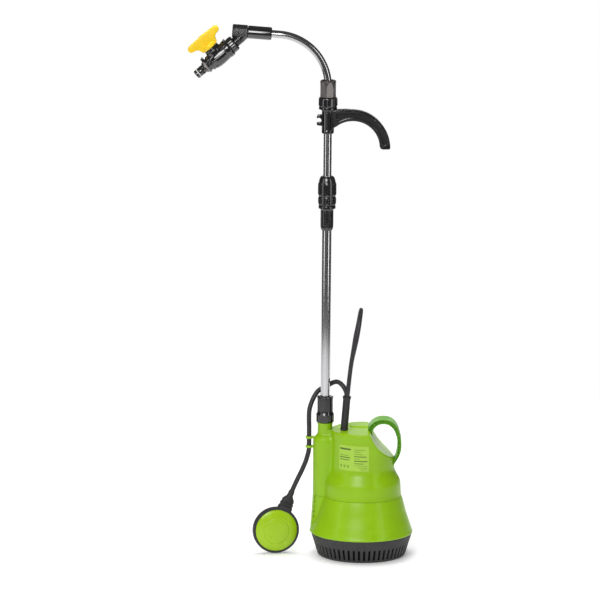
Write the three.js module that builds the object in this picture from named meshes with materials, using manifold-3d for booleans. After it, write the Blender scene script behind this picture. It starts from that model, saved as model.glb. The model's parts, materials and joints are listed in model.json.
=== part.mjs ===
// Submersible rain-barrel pump with a telescopic riser, hanging hook, gooseneck, ball valve and float switch.
// Millimetres, +Z up, origin under the centre of the strainer foot, front of the pump towards -Y.
import * as THREE from "three";
import { mergeVertices } from "three/addons/utils/BufferGeometryUtils.js";
import Module from "manifold-3d";

const wasm = await Module();
wasm.setup();

// ---------------------------------------------------------------- driving dimensions
const GAP = 0.3; // between pieces that touch
const WALL = 3; // housing wall
const FOOT_Z = 39.2; // top of the strainer foot
const SEAM_Z = 104; // joint between lower and upper housing
const TOP_Z = 219; // top of the upper housing
const BODY_R = 55; // upper housing cylinder
const RISER_X = -64; // axis of the discharge column and of the riser above it
const COLUMN_R = 20;
const NECK_R = 12.5;
const LOWER_TUBE_R = 7.9, LOWER_TUBE_BORE = 7.25;
const UPPER_TUBE_R = 7.0, UPPER_TUBE_BORE = 6.2;
const GOOSE_R = 6.4, GOOSE_BORE = 5.4, GOOSE_BEND = 89, GOOSE_SWEEP = 86;
const GOOSE_START_Z = 810;
const SLOTS = 28;
const MOTOR_R = 40;
const SHAFT_R = 5;
const POWER_D = 7.2, FLOAT_D = 8;
const FLOAT_R = 40, FLOAT_AT = [-146.5, 0, 40.3], FLOAT_TURN = 11;
const VALVE_FLOW = [-0.7536, 0, -0.6573]; // water leaves this way
const VALVE_STEM = [-0.6573, 0, 0.7536];
const LEVER_AT = 64.4; // along the flow from the elbow's junction
const ELBOW_RISE = 4; // degrees
const COIL_AT = [0, 166], COIL_MID_R = 57.5, COIL_HALF_W = 15, COIL_Z0 = 1.8, COIL_Z1 = 53;

// ---------------------------------------------------------------- shape helpers
const V3 = (a) => new THREE.Vector3(a[0], a[1], a[2]);
function solid(geometry) {
  let g = geometry.index ? geometry.toNonIndexed() : geometry.clone();
  g = new THREE.BufferGeometry().setAttribute("position", g.getAttribute("position"));
  g = mergeVertices(g, 1e-4);
  const tri = new Uint32Array(g.index.array);
  const make = () => new wasm.Manifold(new wasm.Mesh({ numProp: 3, vertProperties: g.attributes.position.array, triVerts: tri }));
  let m = make();
  if (m.volume() < 0) {
    for (let i = 0; i < tri.length; i += 3) [tri[i + 1], tri[i + 2]] = [tri[i + 2], tri[i + 1]];
    m = make();
  }
  return m;
}
const join = (...s) => s.reduce((a, b) => a.add(b));
const cut = (a, ...s) => s.reduce((x, b) => x.subtract(b), a);
// matrix with local X, Y, Z along the given directions
function frame(x, y, z, at = [0, 0, 0]) {
  return new THREE.Matrix4().makeBasis(V3(x).normalize(), V3(y).normalize(), V3(z).normalize()).setPosition(V3(at));
}
// full turn about Z of a profile [[radius, z], ...] that starts and ends on the axis or closes on itself
function revolve(profile, seg = 32, at = [0, 0], matrix = null) {
  const g = new THREE.LatheGeometry(profile.map((p) => new THREE.Vector2(p[0], p[1])), seg);
  g.rotateX(Math.PI / 2);
  g.translate(at[0], at[1], 0);
  if (matrix) g.applyMatrix4(matrix);
  return solid(g);
}
const rod = (r, z0, z1, seg = 24, at = [0, 0], m = null) => revolve([[0, z0], [r, z0], [r, z1], [0, z1]], seg, at, m);
const ring = (r0, r1, z0, z1, seg = 24, at = [0, 0], m = null) => revolve([[r0, z0], [r1, z0], [r1, z1], [r0, z1], [r0, z0]], seg, at, m);
function box(x0, x1, y0, y1, z0, z1, matrix = null) {
  const g = new THREE.BoxGeometry(x1 - x0, y1 - y0, z1 - z0);
  g.translate((x0 + x1) / 2, (y0 + y1) / 2, (z0 + z1) / 2);
  if (matrix) g.applyMatrix4(matrix);
  return solid(g);
}
// outline [[a, b], ...] extruded along Z from z0 to z1
function prism(outline, z0, z1, matrix = null) {
  const s = new THREE.Shape(outline.map((p) => new THREE.Vector2(p[0], p[1])));
  const g = new THREE.ExtrudeGeometry(s, { depth: z1 - z0, bevelEnabled: false, curveSegments: 8 });
  g.translate(0, 0, z0);
  if (matrix) g.applyMatrix4(matrix);
  return solid(g);
}
// outline in the X-Z plane, extruded from y0 to y1
const plateXZ = (outline, y0, y1) => prism(outline, -y1, -y0, frame([1, 0, 0], [0, 0, 1], [0, -1, 0]));
function circleShape(r, seg, hole = 0) {
  const ringPts = (q, n) => Array.from({ length: n }, (_, i) => new THREE.Vector2(q * Math.cos((2 * Math.PI * i) / n), q * Math.sin((2 * Math.PI * i) / n)));
  const s = new THREE.Shape(ringPts(r, seg));
  if (hole) s.holes.push(new THREE.Path(ringPts(hole, seg)));
  return s;
}
function sweep(curve, r, steps, seg = 16, hole = 0) {
  return solid(new THREE.ExtrudeGeometry(circleShape(r, seg, hole), { steps, extrudePath: curve, bevelEnabled: false }));
}
const spline = (pts) => new THREE.CatmullRomCurve3(pts.map(V3), false, "centripetal");
// matrix of a turn about Z through a point
const turn = (deg, at = [0, 0]) => new THREE.Matrix4().makeTranslation(at[0], at[1], 0).multiply(new THREE.Matrix4().makeRotationZ((deg * Math.PI) / 180)).multiply(new THREE.Matrix4().makeTranslation(-at[0], -at[1], 0));
function geometryOf(s) {
  const m = s.getMesh();
  const g = new THREE.BufferGeometry();
  const n = m.numProp, v = m.vertProperties, count = v.length / n, pos = new Float32Array(count * 3);
  for (let i = 0; i < count; i++) for (let k = 0; k < 3; k++) pos[3 * i + k] = v[n * i + k];
  g.setAttribute("position", new THREE.BufferAttribute(pos, 3));
  g.setIndex(new THREE.BufferAttribute(new Uint32Array(m.triVerts), 1));
  const flat = g.toNonIndexed();
  flat.computeVertexNormals();
  return flat;
}

const root = new THREE.Group();
const paint = (color, roughness, metalness = 0) => ({ color, roughness, metalness });
const GREEN = paint(0x92c524, 0.38), DARK = paint(0x2d2c2d, 0.5), GREY = paint(0x413e40, 0.6), RUBBER = paint(0x2b2a2b, 0.75);
const TUBE = paint(0xd8d8da, 0.22, 1), STEEL = paint(0xb0b2b4, 0.35, 1), YELLOW = paint(0xffd428, 0.4), COPPER = paint(0xb87333, 0.4, 1);
const WHITE = paint(0xe8e8e4, 0.5), MIDGREY = paint(0x8a8684, 0.5), IRON = paint(0x5a5c60, 0.5, 1), BRASS = paint(0xc9a227, 0.35, 1), LABEL = paint(0xd9ebb8, 0.5);
function part(name, s, p) {
  const mesh = new THREE.Mesh(geometryOf(s), new THREE.MeshStandardMaterial(p));
  mesh.name = name;
  root.add(mesh);
}
const polar = (r, deg) => [r * Math.cos((deg * Math.PI) / 180), r * Math.sin((deg * Math.PI) / 180)];

// ---------------------------------------------------------------- strainer foot
const BOLTS = [30, 150, 270], BOLT_R = 62;
{
  const outer = [[0, 0], [73.6, 0], [75.6, 3.4], [81.2, 23], [86, FOOT_Z]];
  const inner = [[82.8, FOOT_Z], [78.2, 23], [72.6, 4], [0, 4]];
  let s = revolve([...outer, ...inner], SLOTS);
  const half = 180 / SLOTS;
  const slots = [];
  for (let i = 0; i < SLOTS; i++) slots.push(box(68, 90, -1.9, 1.9, 4.6, 22.4, new THREE.Matrix4().makeRotationZ(((2 * i + 1) * half * Math.PI) / 180)));
  s = cut(s, wasm.Manifold.union(slots));
  for (const a of BOLTS) {
    const at = polar(BOLT_R, a);
    s = cut(join(s, rod(6, 2, 33, 8, at)), rod(4.6, -1, 3, 8, at), rod(2.4, -1, 40, 8, at));
  }
  part("strainer_base", s, GREY);
}
// suction plate that closes the pump chamber from below, with the eye in its middle
{
  let s = ring(14, 78, 33.4, 36, 28);
  for (const a of BOLTS) s = cut(s, rod(2.4, 30, 40, 8, polar(BOLT_R, a)));
  part("suction_plate", s, GREY);
}
BOLTS.forEach((a, i) => {
  const at = polar(BOLT_R, a);
  part(`base_screw_${i + 1}`, revolve([[0, 0.6], [4.2, 0.6], [4.2, 2.6], [2, 2.6], [2, 52], [0, 52]], 8, at), STEEL);
});

// ---------------------------------------------------------------- housings
const LOWER_OUT = [[86.8, FOOT_Z + 0.4], [86.8, 43], [82, 56.5], [74.6, 78], [71.2, 94], [67.6, SEAM_Z - 0.15]];
const UPPER_OUT = [[67.4, SEAM_Z + 0.15], [66.3, 112], [65.3, 130], [60.2, 140], [BODY_R + 0.4, 150], [BODY_R, 156], [BODY_R, TOP_Z - 2.5], [BODY_R - 2.5, TOP_Z]];
const COLUMN_OUT = [[COLUMN_R, 199], [16, 206.5], [NECK_R, 212], [NECK_R, 229.7], [10, 229.7], [10, 243]];
const SHOULDER = [[13, TOP_Z], [15, 214.5], [19.5, 203.5], [27, 193], [35, 185], [43, 178.5], [51.4, 172.3], [58, 168]];
const axisAt = [RISER_X, 0];
{
  const outerMain = revolve([[0, FOOT_Z + 0.4], ...LOWER_OUT, [0, SEAM_Z - 0.15]], 32);
  const outerColumn = rod(COLUMN_R, 44, SEAM_Z - 0.15, 16, axisAt);
  const innerMain = revolve([[0, 30], [83.2, 30], ...LOWER_OUT.map(([r, z]) => [r - WALL, z]), [LOWER_OUT.at(-1)[0] - WALL, SEAM_Z + 2], [0, SEAM_Z + 2]], 32);
  const innerColumn = rod(COLUMN_R - WALL, 40, SEAM_Z + 2, 16, axisAt);
  let s = cut(join(outerMain, outerColumn), innerMain, innerColumn);
  for (const a of BOLTS) {
    const at = polar(BOLT_R, a);
    const rib = box(BOLT_R, 90, -2.5, 2.5, 42, 60, new THREE.Matrix4().makeRotationZ((a * Math.PI) / 180)).intersect(outerMain);
    s = cut(join(s, rib, rod(5, 42, 60, 8, at)), rod(2.4, 40, 56, 8, at));
  }
  part("lower_housing", s, GREEN);
}
{
  const outerMain = revolve([[0, SEAM_Z + 0.15], ...UPPER_OUT, [0, TOP_Z]], 32);
  const outerColumn = revolve([[0, SEAM_Z + 0.15], [COLUMN_R, SEAM_Z + 0.15], ...COLUMN_OUT, [0, 243]], 16, axisAt);
  const innerMain = revolve([[0, 100], [UPPER_OUT[0][0] - WALL, 100], ...UPPER_OUT.slice(0, 6).map(([r, z]) => [r - WALL, z]), [BODY_R - WALL, TOP_Z - WALL], [0, TOP_Z - WALL]], 32);
  const innerColumn = rod(COLUMN_R - WALL, 100, 196, 16, axisAt);
  let s = cut(join(outerMain, outerColumn), innerMain, innerColumn);
  // hollowed shoulder under the carry handle: the corner comes off and a wall closes the cut
  const slope = plateXZ([...SHOULDER, [62, 168], [75, 224], [13, 224]], -70, 70);
  const slopeWall = plateXZ([...SHOULDER, [52, 168.5], [50.4, 169.6], [41.6, 175.9], [33.2, 182.6], [24.8, 190.9], [16.9, 201.9], [11.4, 214]], -70, 70).intersect(outerMain);
  s = join(cut(s, slope), cut(slopeWall, rod(COLUMN_R, 100, 250, 14, axisAt)));
  // discharge duct inside the column, from the pump chamber up to the spigot
  s = join(s, rod(NECK_R, 62, 205, 16, axisAt));
  s = cut(s, rod(9.5, 60, 226, 16, axisAt), rod(7.5, 220, 250, 16, axisAt));
  // cable hole in the top, vents in the column's left face
  s = cut(s, rod(4.6, 200, 230, 16, [-31.6, -9]));
  for (const z of [68, 76, 84, 93, 101]) if (z > SEAM_Z + 3) s = cut(s, box(RISER_X - 25, RISER_X - 15, -2, 2, z - 1.5, z + 1.5));
  part("upper_housing", s, GREEN);
}
{
  // carry handle: curved grip over the sloping shoulder
  const outer = [[9.4, TOP_Z + GAP], [13.3, 227.5], [18, 232.5], [24, 236], [30, 237.6], [36.5, 238], [43, 237.3], [50, 234.6], [56, 229.5], [60.5, 222], [63.5, 213], [65.9, 203], [66.6, 192], [65.6, 183], [63.5, 176], [60, 168], [56, 158]];
  const inner = [[50, 158], [50, 164], [57.3, 168], [58.8, 177], [59.8, 190], [59.4, 203], [57.5, 211], [54.3, 219], [49.5, 225], [43.5, 229], [36.5, 230.2], [30, 229.6], [24.5, 227], [20.5, 222.5], [18.2, 216], [18.5, 206.9], [15.4, 214.6], [13.2, TOP_Z + GAP]];
  const body = plateXZ([...outer, ...inner], -17, 17);
  // open channel in both flanks, bridged by cross ribs
  const mid = [[12, 221.3], [15.2, 226.5], [19.4, 231], [24.8, 234.2], [30.3, 235.7], [36.5, 236.1], [42.6, 235.4], [49.1, 232.9], [54.6, 228.3], [58.8, 221.2], [61.8, 212.5], [64.1, 202.8], [64.8, 192], [63.9, 183.5], [62, 177], [60, 172], [60.4, 177], [61.4, 190], [61, 203.3], [59, 211.6], [55.7, 219.9], [50.5, 226.3], [44, 230.6], [36.5, 231.9], [29.7, 231.3], [23.6, 228.5], [19.2, 223.6], [18, 221.3]];
  let s = cut(body, plateXZ(mid, -22, -4), plateXZ(mid, 4, 22));
  for (const [x0, x1, z0, z1] of [[21.6, 23.2, 226, 236], [40.4, 42, 229, 237], [56, 64, 216.6, 218.2], [60, 66, 197.5, 199.1]])
    s = join(s, box(x0, x1, -16, 16, z0, z1).intersect(body));
  s = cut(s, rod(BODY_R + 0.35, 100, TOP_Z - 0.001, 32));
  // only the foot inside the housing's outline is cut away, so the grip's own foot on the shoulder comes back
  s = join(s, plateXZ([[13.2, TOP_Z + GAP], [15.4, 214.6], [18.5, 206.9], [18.2, 216], [20.5, 222.5], [19, 223.6], [12, 223]], -17, 17));
  part("carry_handle", s, GREEN);
}
{
  // rating label, a thin curved plate on the front of the upper housing
  const z0 = 155.5, z1 = 199.5;
  let s = cut(ring(BODY_R + 0.35, BODY_R + 1, z0, z1, 56), box(-60, 60, -20, 70, 100, 250), box(-90, -39, -90, 10, 100, 250), box(11, 90, -90, 10, 100, 250));
  part("rating_label", s, LABEL);
}

// ---------------------------------------------------------------- pump chamber and motor
{
  let s = join(rod(46, 37.3, 60, 24), box(-73.5, -40, -12.5, 12.5, 37.3, 60));
  s = cut(s, rod(40, 37, 57, 24), box(-71, -36, -9.5, 9.5, 40, 57), rod(9.5, 50, 61, 14, axisAt), rod(9, 50, 61, 20), rod(1.2, 50, 61, 8, [0, 44]));
  part("volute_casing", s, GREY);
}
part("motor_end_cap", cut(revolve([[0, 60.4], [34, 60.4], [MOTOR_R, 66], [MOTOR_R, 71.7], [37.8, 71.7], [37.8, 76], [16, 76], [16, 84], [0, 84]], 24), rod(9.4, 50, 73, 14), rod(11, 74.5, 90, 14), rod(6, 60, 80, 14)), GREY);
part("motor_seal_ring", ring(38.1, MOTOR_R - 0.2, 72, 73.8, 24), RUBBER);
part("motor_can", revolve([[38.3, 74.1], [MOTOR_R, 74.1], [MOTOR_R, 174], [33.5, 181], [0, 183], [0, 181.4], [32.8, 179.5], [38.3, 173.5], [38.3, 74.1]], 24), STEEL);
part("shaft_seal", ring(5.4, 9, 61, 72.6, 14), RUBBER);
part("lower_bearing", ring(5.4, 10.6, 74.8, 83, 14), STEEL);
part("stator_core", ring(24, 38, 90, 150, 24), IRON);
part("winding_lower", ring(25.5, 36, 78, 89.7, 16), COPPER);
part("winding_upper", ring(25.5, 36, 150.3, 162, 16), COPPER);
part("motor_top_bracket", cut(revolve([[0, 164], [15, 164], [15, 171], [37.2, 171], [37.2, 174], [0, 176]], 20), rod(11, 160, 173, 14)), GREY);
part("upper_bearing", ring(5.4, 10.6, 164.5, 172.5, 14), STEEL);
part("run_capacitor", rod(8, -20, 20, 12, [0, 0], frame([1, 0, 0], [0, 0, -1], [0, 1, 0], [-10, 2, 200])), WHITE);
part("motor_shaft", rod(SHAFT_R, 36.4, 172, 14), STEEL);
part("rotor_core", ring(SHAFT_R + GAP, 23.2, 88, 152, 20), IRON);
{
  let s = join(rod(36.5, 50.5, 53.5, 20), rod(10, 43, 51, 14));
  for (let i = 0; i < 6; i++) s = join(s, box(8, 36, -1.1, 1.1, 42, 51, new THREE.Matrix4().makeRotationZ((i * Math.PI) / 3).multiply(new THREE.Matrix4().makeTranslation(0, 4, 0))));
  part("impeller", cut(s, rod(SHAFT_R + GAP, 30, 60, 14)), MIDGREY);
}
part("impeller_nut", cut(rod(8, 37.6, 42.6, 6), rod(SHAFT_R + 0.4, 30, 50, 14)), BRASS);

// ---------------------------------------------------------------- cable gland, float cable clip
const GLAND_A = [-31.4, -9, TOP_Z + GAP], GLAND_B = [-27, -9, 277];
{
  const dir = V3(GLAND_B).sub(V3(GLAND_A)), len = dir.length();
  dir.normalize();
  const xdir = new THREE.Vector3(dir.z, 0, -dir.x);
  const m = frame([xdir.x, 0, xdir.z], [0, 1, 0], [dir.x, dir.y, dir.z], GLAND_A);
  m.scale(new THREE.Vector3(1, 1.48, 1));
  const s = revolve([[0, 0.6], [6.3, 0.6], [6.3, len - 4], [7.1, len - 4], [7.1, len], [0, len]], 16, [0, 0], m);
  part("cord_gland", s, RUBBER);
}
{
  // backplate on the column with two rings that hold the float cable upright
  let s = box(RISER_X - 22.4, RISER_X - 20.3, -3.5, 3.5, 184, 206);
  for (const z of [185, 201]) s = join(s, ring(FLOAT_D / 2 + GAP, 6.2, z, z + 4, 14, [-91, 0]), box(-87, RISER_X - 20.3, -3, 3, z, z + 4));
  for (const z of [185, 201]) s = cut(s, rod(FLOAT_D / 2 + GAP, z - 1, z + 5, 14, [-91, 0]));
  part("float_cable_clip", s, GREEN);
}

// ---------------------------------------------------------------- riser
{
  let s = revolve([[8.3, 246.2], [10.3, 245], [10.3, 230], [14.6, 230], [15.25, 231], [15.25, 244], [13.6, 246], [13.35, 248], [13.35, 275], [8.3, 275], [8.3, 246.2]], 16, axisAt);
  for (let i = 0; i < 8; i++) s = cut(s, box(RISER_X + 10.5, RISER_X + 16, -1.3, 1.3, 271.5, 280, turn(i * 45, axisAt)));
  part("discharge_collar", s, DARK);
}
part("lower_tube", ring(LOWER_TUBE_BORE, LOWER_TUBE_R, 245.4, 590, 16, axisAt), TUBE);
{
  let s = revolve([[8.2, 563], [9.2, 563.5], [10.6, 567], [11, 571], [11, 600.6], [14.5, 601], [14.5, 606], [11.4, 606.2], [11.4, 630], [9.3, 630], [9.3, 591], [8.2, 590.5], [8.2, 563]], 16, axisAt);
  for (let i = 0; i < 8; i++) s = cut(s, box(RISER_X + 10.3, RISER_X + 13, -0.8, 0.8, 569, 600, turn(i * 45, axisAt)));
  part("clamp_sleeve", s, DARK);
}
part("clamp_collet", cut(ring(7.35, 9, 591.4, 633, 14, axisAt), box(RISER_X, RISER_X + 12, -0.7, 0.7, 598, 640)), WHITE);
{
  let s = revolve([[11.8, 606.6], [14.4, 606.6], [15, 608], [15, 621], [14.3, 622], [15, 623], [15, 644], [13.2, 652], [11, 656], [7.4, 656], [7.4, 638], [11.8, 633.5], [11.8, 606.6]], 16, axisAt);
  for (let i = 0; i < 6; i++) s = join(s, box(RISER_X + 14, RISER_X + 15.3, -1.6, 1.6, 624, 643, turn(i * 60 + 15, axisAt)));
  part("clamp_nut", s, DARK);
}
part("guide_bush", ring(5.6, 7.0, 333, 339.6, 14, axisAt), WHITE);
part("upper_tube", ring(UPPER_TUBE_BORE, UPPER_TUBE_R, 340, 780, 16, axisAt), TUBE);
{
  // hook: collar on the upper tube and a broad arm that curls over the rim of a barrel
  const cx = RISER_X + 42.5, cz = 707;
  const arc = (r, a0, a1, n) => Array.from({ length: n + 1 }, (_, i) => { const a = ((a0 + ((a1 - a0) * i) / n) * Math.PI) / 180; return [cx + r * Math.cos(a), cz + r * Math.sin(a)]; });
  const outline = [[RISER_X + 8, 770.6], [RISER_X + 30, 771.5], ...arc(63.5, 88, 0, 12), [cx + 61.5, 704.6], [cx + 49, 704.6], [cx + 45.8, 707.6], ...arc(45.5, 5, 142, 14), [RISER_X + 8, 737]];
  const arm = plateXZ(outline, -10, 10);
  const web = [[RISER_X + 15, 765.5], [RISER_X + 30, 766.2], ...arc(58.5, 88, 4, 10), [cx + 50.5, 712], ...arc(50.2, 7, 118, 12), [RISER_X + 15, 752.5]];
  let s = cut(arm, plateXZ(web, -15, -3.5), plateXZ(web, 3.5, 15));
  s = join(s, rod(10.5, 730, 770.6, 16, axisAt));
  // open cable clip on the other side of the collar
  s = join(s, box(RISER_X - 16, RISER_X - 8, -8, 8, 743, 763));
  const clipX = RISER_X - 15.5;
  s = join(s, rod(7.6, -8, 8, 20, [0, 0], frame([1, 0, 0], [0, 0, -1], [0, 1, 0], [clipX, 0, 753])));
  s = cut(s, rod(4.4, -12, 12, 20, [0, 0], frame([1, 0, 0], [0, 0, -1], [0, 1, 0], [clipX, 0, 753])), box(clipX - 12, clipX, -12, 12, 750, 756));
  s = cut(s, rod(UPPER_TUBE_R + GAP, 720, 780, 16, axisAt));
  part("hook_fitting", s, DARK);
}
{
  let s = revolve([[7.3, 771], [14.8, 771], [15.6, 772], [15.6, 775], [13.4, 776], [13.4, 791.6], [9.6, 791.6], [9.6, 781], [7.3, 780.5], [7.3, 771]], 16, axisAt);
  part("connector_body", s, DARK);
}
{
  let s = ring(13.75, 15.3, 776.4, 791.6, 16, axisAt);
  for (let i = 0; i < 8; i++) s = join(s, box(RISER_X + 14.4, RISER_X + 15.9, -1, 1, 777.2, 790.8, turn(i * 45, axisAt)));
  part("lock_ring", s, DARK);
}
{
  let s = revolve([[6.8, 782], [9.2, 782], [9.2, 792], [12.8, 792], [13.5, 793], [13.5, 818.5], [12.6, 821], [10.2, 821], [9.4, 815], [6.8, 813], [6.8, 782]], 16, axisAt);
  part("grip_nut", s, MIDGREY);
}

// ---------------------------------------------------------------- gooseneck, elbow
const rad = (d) => (d * Math.PI) / 180;
const sweepEnd = [RISER_X - GOOSE_BEND + GOOSE_BEND * Math.cos(rad(GOOSE_SWEEP)), 0, GOOSE_START_Z + GOOSE_BEND * Math.sin(rad(GOOSE_SWEEP))];
const outDir = [-Math.sin(rad(GOOSE_SWEEP)), 0, Math.cos(rad(GOOSE_SWEEP))];
const along = (d) => [sweepEnd[0] + outDir[0] * d, 0, sweepEnd[2] + outDir[2] * d];
{
  const path = new THREE.CurvePath();
  const pts = [[RISER_X, 0, 793], [RISER_X, 0, 801], [RISER_X, 0, GOOSE_START_Z - 1]];
  for (let i = 1; i <= 20; i++) {
    const a = rad((GOOSE_SWEEP * i) / 20);
    pts.push([RISER_X - GOOSE_BEND + GOOSE_BEND * Math.cos(a), 0, GOOSE_START_Z + GOOSE_BEND * Math.sin(a)]);
  }
  pts.push(along(12), along(26));
  part("gooseneck_tube", sweep(spline(pts), GOOSE_R, 14, 12, GOOSE_BORE), TUBE);
}
// distances along the elbow's axis, measured from where the bend ends
const E0 = 13.5, E1 = 54, E2 = 80.3;
const elbowM = frame([outDir[2], 0, -outDir[0]], [0, 1, 0], outDir, sweepEnd);
const J = [RISER_X - 137.4, 0, sweepEnd[2] + ((sweepEnd[0] - (RISER_X - 137.4)) * outDir[2]) / -outDir[0]];
const valveM = frame(VALVE_STEM, [0, 1, 0], VALVE_FLOW, J);
{
  let s = revolve([[0, E0], [10.2, E0], [11, E0 + 1.2], [11, E1], [0, E1]], 16, [0, 0], elbowM);
  s = join(s, rod(8.6, -6, 37.4, 14, [0, 0], valveM));
  for (const d of [14, 18, 22]) s = join(s, rod(9.4, d, d + 1.8, 14, [0, 0], valveM));
  s = cut(s, rod(GOOSE_R + 0.35, E0 - 5, 26.5, 12, [0, 0], elbowM), rod(5.4, 20, 52, 12, [0, 0], elbowM), rod(5.4, 0, 40, 16, [0, 0], valveM));
  part("elbow_body", s, DARK);
}
{
  let s = revolve([[0, E1 + GAP], [11.3, E1 + GAP], [11.3, E2 - 1], [10.4, E2], [0, E2]], 16, [0, 0], elbowM);
  s = cut(s, rod(9.8, -6.6, 40, 14, [0, 0], valveM), box(-12, -3.5, -12, 12, E1 - 1, E1 + 9, elbowM), box(5, 12, -12, 12, E1 - 1, E1 + 3.2, elbowM));
  part("knurled_end_cap", s, DARK);
}

// ---------------------------------------------------------------- ball valve
part("valve_union_nut", cut(revolve([[8.95, 26.5], [12.4, 26.5], [13.6, 28], [13.6, 37.9], [8.95, 37.9], [8.95, 26.5]], 16, [0, 0], valveM)), DARK);
{
  let s = revolve([[0, 38.2], [14.2, 38.2], [15.8, 40], [16, 60], [15.2, 76], [12, 86], [11, 89.8], [0, 89.8]], 16, [0, 0], valveM);
  // bonnet that carries the stem
  const stemM = frame([0, 1, 0], VALVE_FLOW.map((v) => v), VALVE_STEM, [J[0] + VALVE_FLOW[0] * LEVER_AT, 0, J[2] + VALVE_FLOW[2] * LEVER_AT]);
  s = join(s, revolve([[0, 4], [14.2, 4], [14.2, 15], [13.2, 19.8], [0, 19.8]], 14, [0, 0], stemM));
  s = join(s, box(12, 17.5, -6, 6, 41, 52, valveM));
  s = cut(s, solid(new THREE.SphereGeometry(9.7, 10, 6).applyMatrix4(stemM)));
  s = cut(s, rod(5.4, 30, 100, 16, [0, 0], valveM), rod(3.4, 0, 30, 14, [0, 0], stemM));
  part("valve_body", s, DARK);
  // ball with its stem, bored along the flow while the lever lies along it
  let b = join(solid(new THREE.SphereGeometry(9.0, 10, 6).applyMatrix4(stemM)), rod(3, 5, 26, 12, [0, 0], stemM));
  b = cut(b, rod(5, 50, 80, 16, [0, 0], valveM));
  part("valve_ball", b, WHITE);
  // T lever: grip wings along the flow, on a broad foot
  const w = 32.5;
  const outline = [[-15, 20.4], [15, 20.4], [16.5, 27], [19.5, 31.5], [24.5, 33.6], [29, 33.2], [31.6, 35.4], [w, 39], [31, 43], [27, 45], [-27, 45], [-31, 43], [-w, 39], [-31.6, 35.4], [-29, 33.2], [-24.5, 33.6], [-19.5, 31.5], [-16.5, 27]];
  // outline in (flow, stem), thickness along Y
  const leverM = frame(VALVE_FLOW, VALVE_STEM, [0, -1, 0], [J[0] + VALVE_FLOW[0] * LEVER_AT, 0, J[2] + VALVE_FLOW[2] * LEVER_AT]);
  let l = prism(outline, -6.5, 6.5, leverM);
  l = join(l, rod(12.5, 20.4, 27, 14, [0, 0], stemM));
  l = cut(l, rod(3.3, 18, 38, 14, [0, 0], stemM), rod(4.6, 37, 50, 14, [0, 0], stemM));
  part("valve_lever", l, YELLOW);
  part("lever_screw", revolve([[0, 27], [1.8, 27], [1.8, 37.4], [4.2, 37.4], [4.2, 41], [3.4, 42], [0, 42]], 14, [0, 0], stemM), STEEL);
}
part("outlet_nipple", revolve([[5, 90.2], [9.6, 90.2], [9.8, 94.5], [7.6, 95.5], [7.6, 98.8], [6.3, 98.8], [6.3, 101], [7.6, 101], [7.6, 106.6], [6.3, 106.6], [6.3, 108.8], [7.6, 108.8], [7.6, 112.4], [6.8, 113.6], [5, 113.6], [5, 90.2]], 14, [0, 0], valveM), DARK);
part("nipple_o_ring_1", ring(6.5, 7.9, 99.1, 100.7, 16, [0, 0], valveM), RUBBER);
part("nipple_o_ring_2", ring(6.5, 7.9, 106.9, 108.5, 16, [0, 0], valveM), WHITE);

// ---------------------------------------------------------------- float switch
{
  const t = rad(FLOAT_TURN);
  // local Z is the disc's axis, towards the front
  const n = [Math.sin(t), -Math.cos(t), 0];
  const side = [Math.cos(t), Math.sin(t), 0];
  const fM = frame(side, [0, 0, 1], n, FLOAT_AT);
  part("float_rim", ring(36.4, FLOAT_R, -6, 6, 28, [0, 0], fM), RUBBER);
  part("float_front", revolve([[0, 11.5], [22, 11], [34, 7.5], [36, 5.5], [36, 0.2], [32.5, 0.2], [32.5, 4.5], [21, 8], [0, 8.5]], 24, [0, 0], fM), GREEN);
  part("float_back", revolve([[0, -11.5], [22, -11], [34, -7.5], [36, -5.5], [36, -0.2], [32.5, -0.2], [32.5, -4.5], [21, -8], [0, -8.5]], 24, [0, 0], fM), GREEN);
  part("float_switch_capsule", box(-8, 8, -14, 18, -6.5, 6.5, fM), WHITE);
  const dirA = 22.4;
  const bM = frame([Math.cos(rad(dirA)) * Math.cos(t), Math.cos(rad(dirA)) * Math.sin(t), -Math.sin(rad(dirA))], [Math.sin(rad(dirA)) * Math.cos(t), Math.sin(rad(dirA)) * Math.sin(t), Math.cos(rad(dirA))], n, FLOAT_AT);
  let b = prism([[-12.5, 34], [12.5, 34], [12.2, 46], [11, 54], [8.5, 60], [5.4, 63], [5.2, 73], [-5.2, 73], [-5.4, 63], [-8.5, 60], [-11.5, 54], [-12.5, 46]], -7.5, 7.5, bM);
  b = cut(b, rod(FLOAT_R + 0.3, -20, 20, 28, [0, 0], fM));
  part("float_boot", b, RUBBER);
}
const bootTop = [FLOAT_AT[0] + 74.2 * Math.sin(rad(22.4)) * Math.cos(rad(FLOAT_TURN)), 74.2 * Math.sin(rad(22.4)) * Math.sin(rad(FLOAT_TURN)), FLOAT_AT[2] + 74.2 * Math.cos(rad(22.4))];
{
  const pts = [[-91, 0, 184.5], [-91.2, 0, 180.5], [-93.4, 0.2, 170.9], [-97, 1, 158.6], [-104.6, 2.5, 140.5], [-109.8, 3.8, 129.3], [-114.3, 4.7, 119], bootTop];
  part("float_cable_lower", sweep(spline(pts), FLOAT_D / 2, 8, 8), RUBBER);
}
{
  const pts = [[-27.3, -4.6, 278.3], [-28.2, -4.4, 282.4], [-30.6, -3.2, 288], [-36, 0, 295], [-43.9, 6, 298.6], [-52.4, 11, 295.6], [-59.5, 14, 290.6], [-68.4, 15.3, 286], [-76.4, 13.5, 280.6], [-82, 10, 273], [-87.2, 6, 262.4], [-90.6, 2.5, 251], [-91.4, 0.6, 238.6], [-91, 0, 219.6], [-91, 0, 205], [-91, 0, 184.9]];
  part("float_cable_upper", sweep(spline(pts), FLOAT_D / 2, 24, 8), RUBBER);
}

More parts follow.
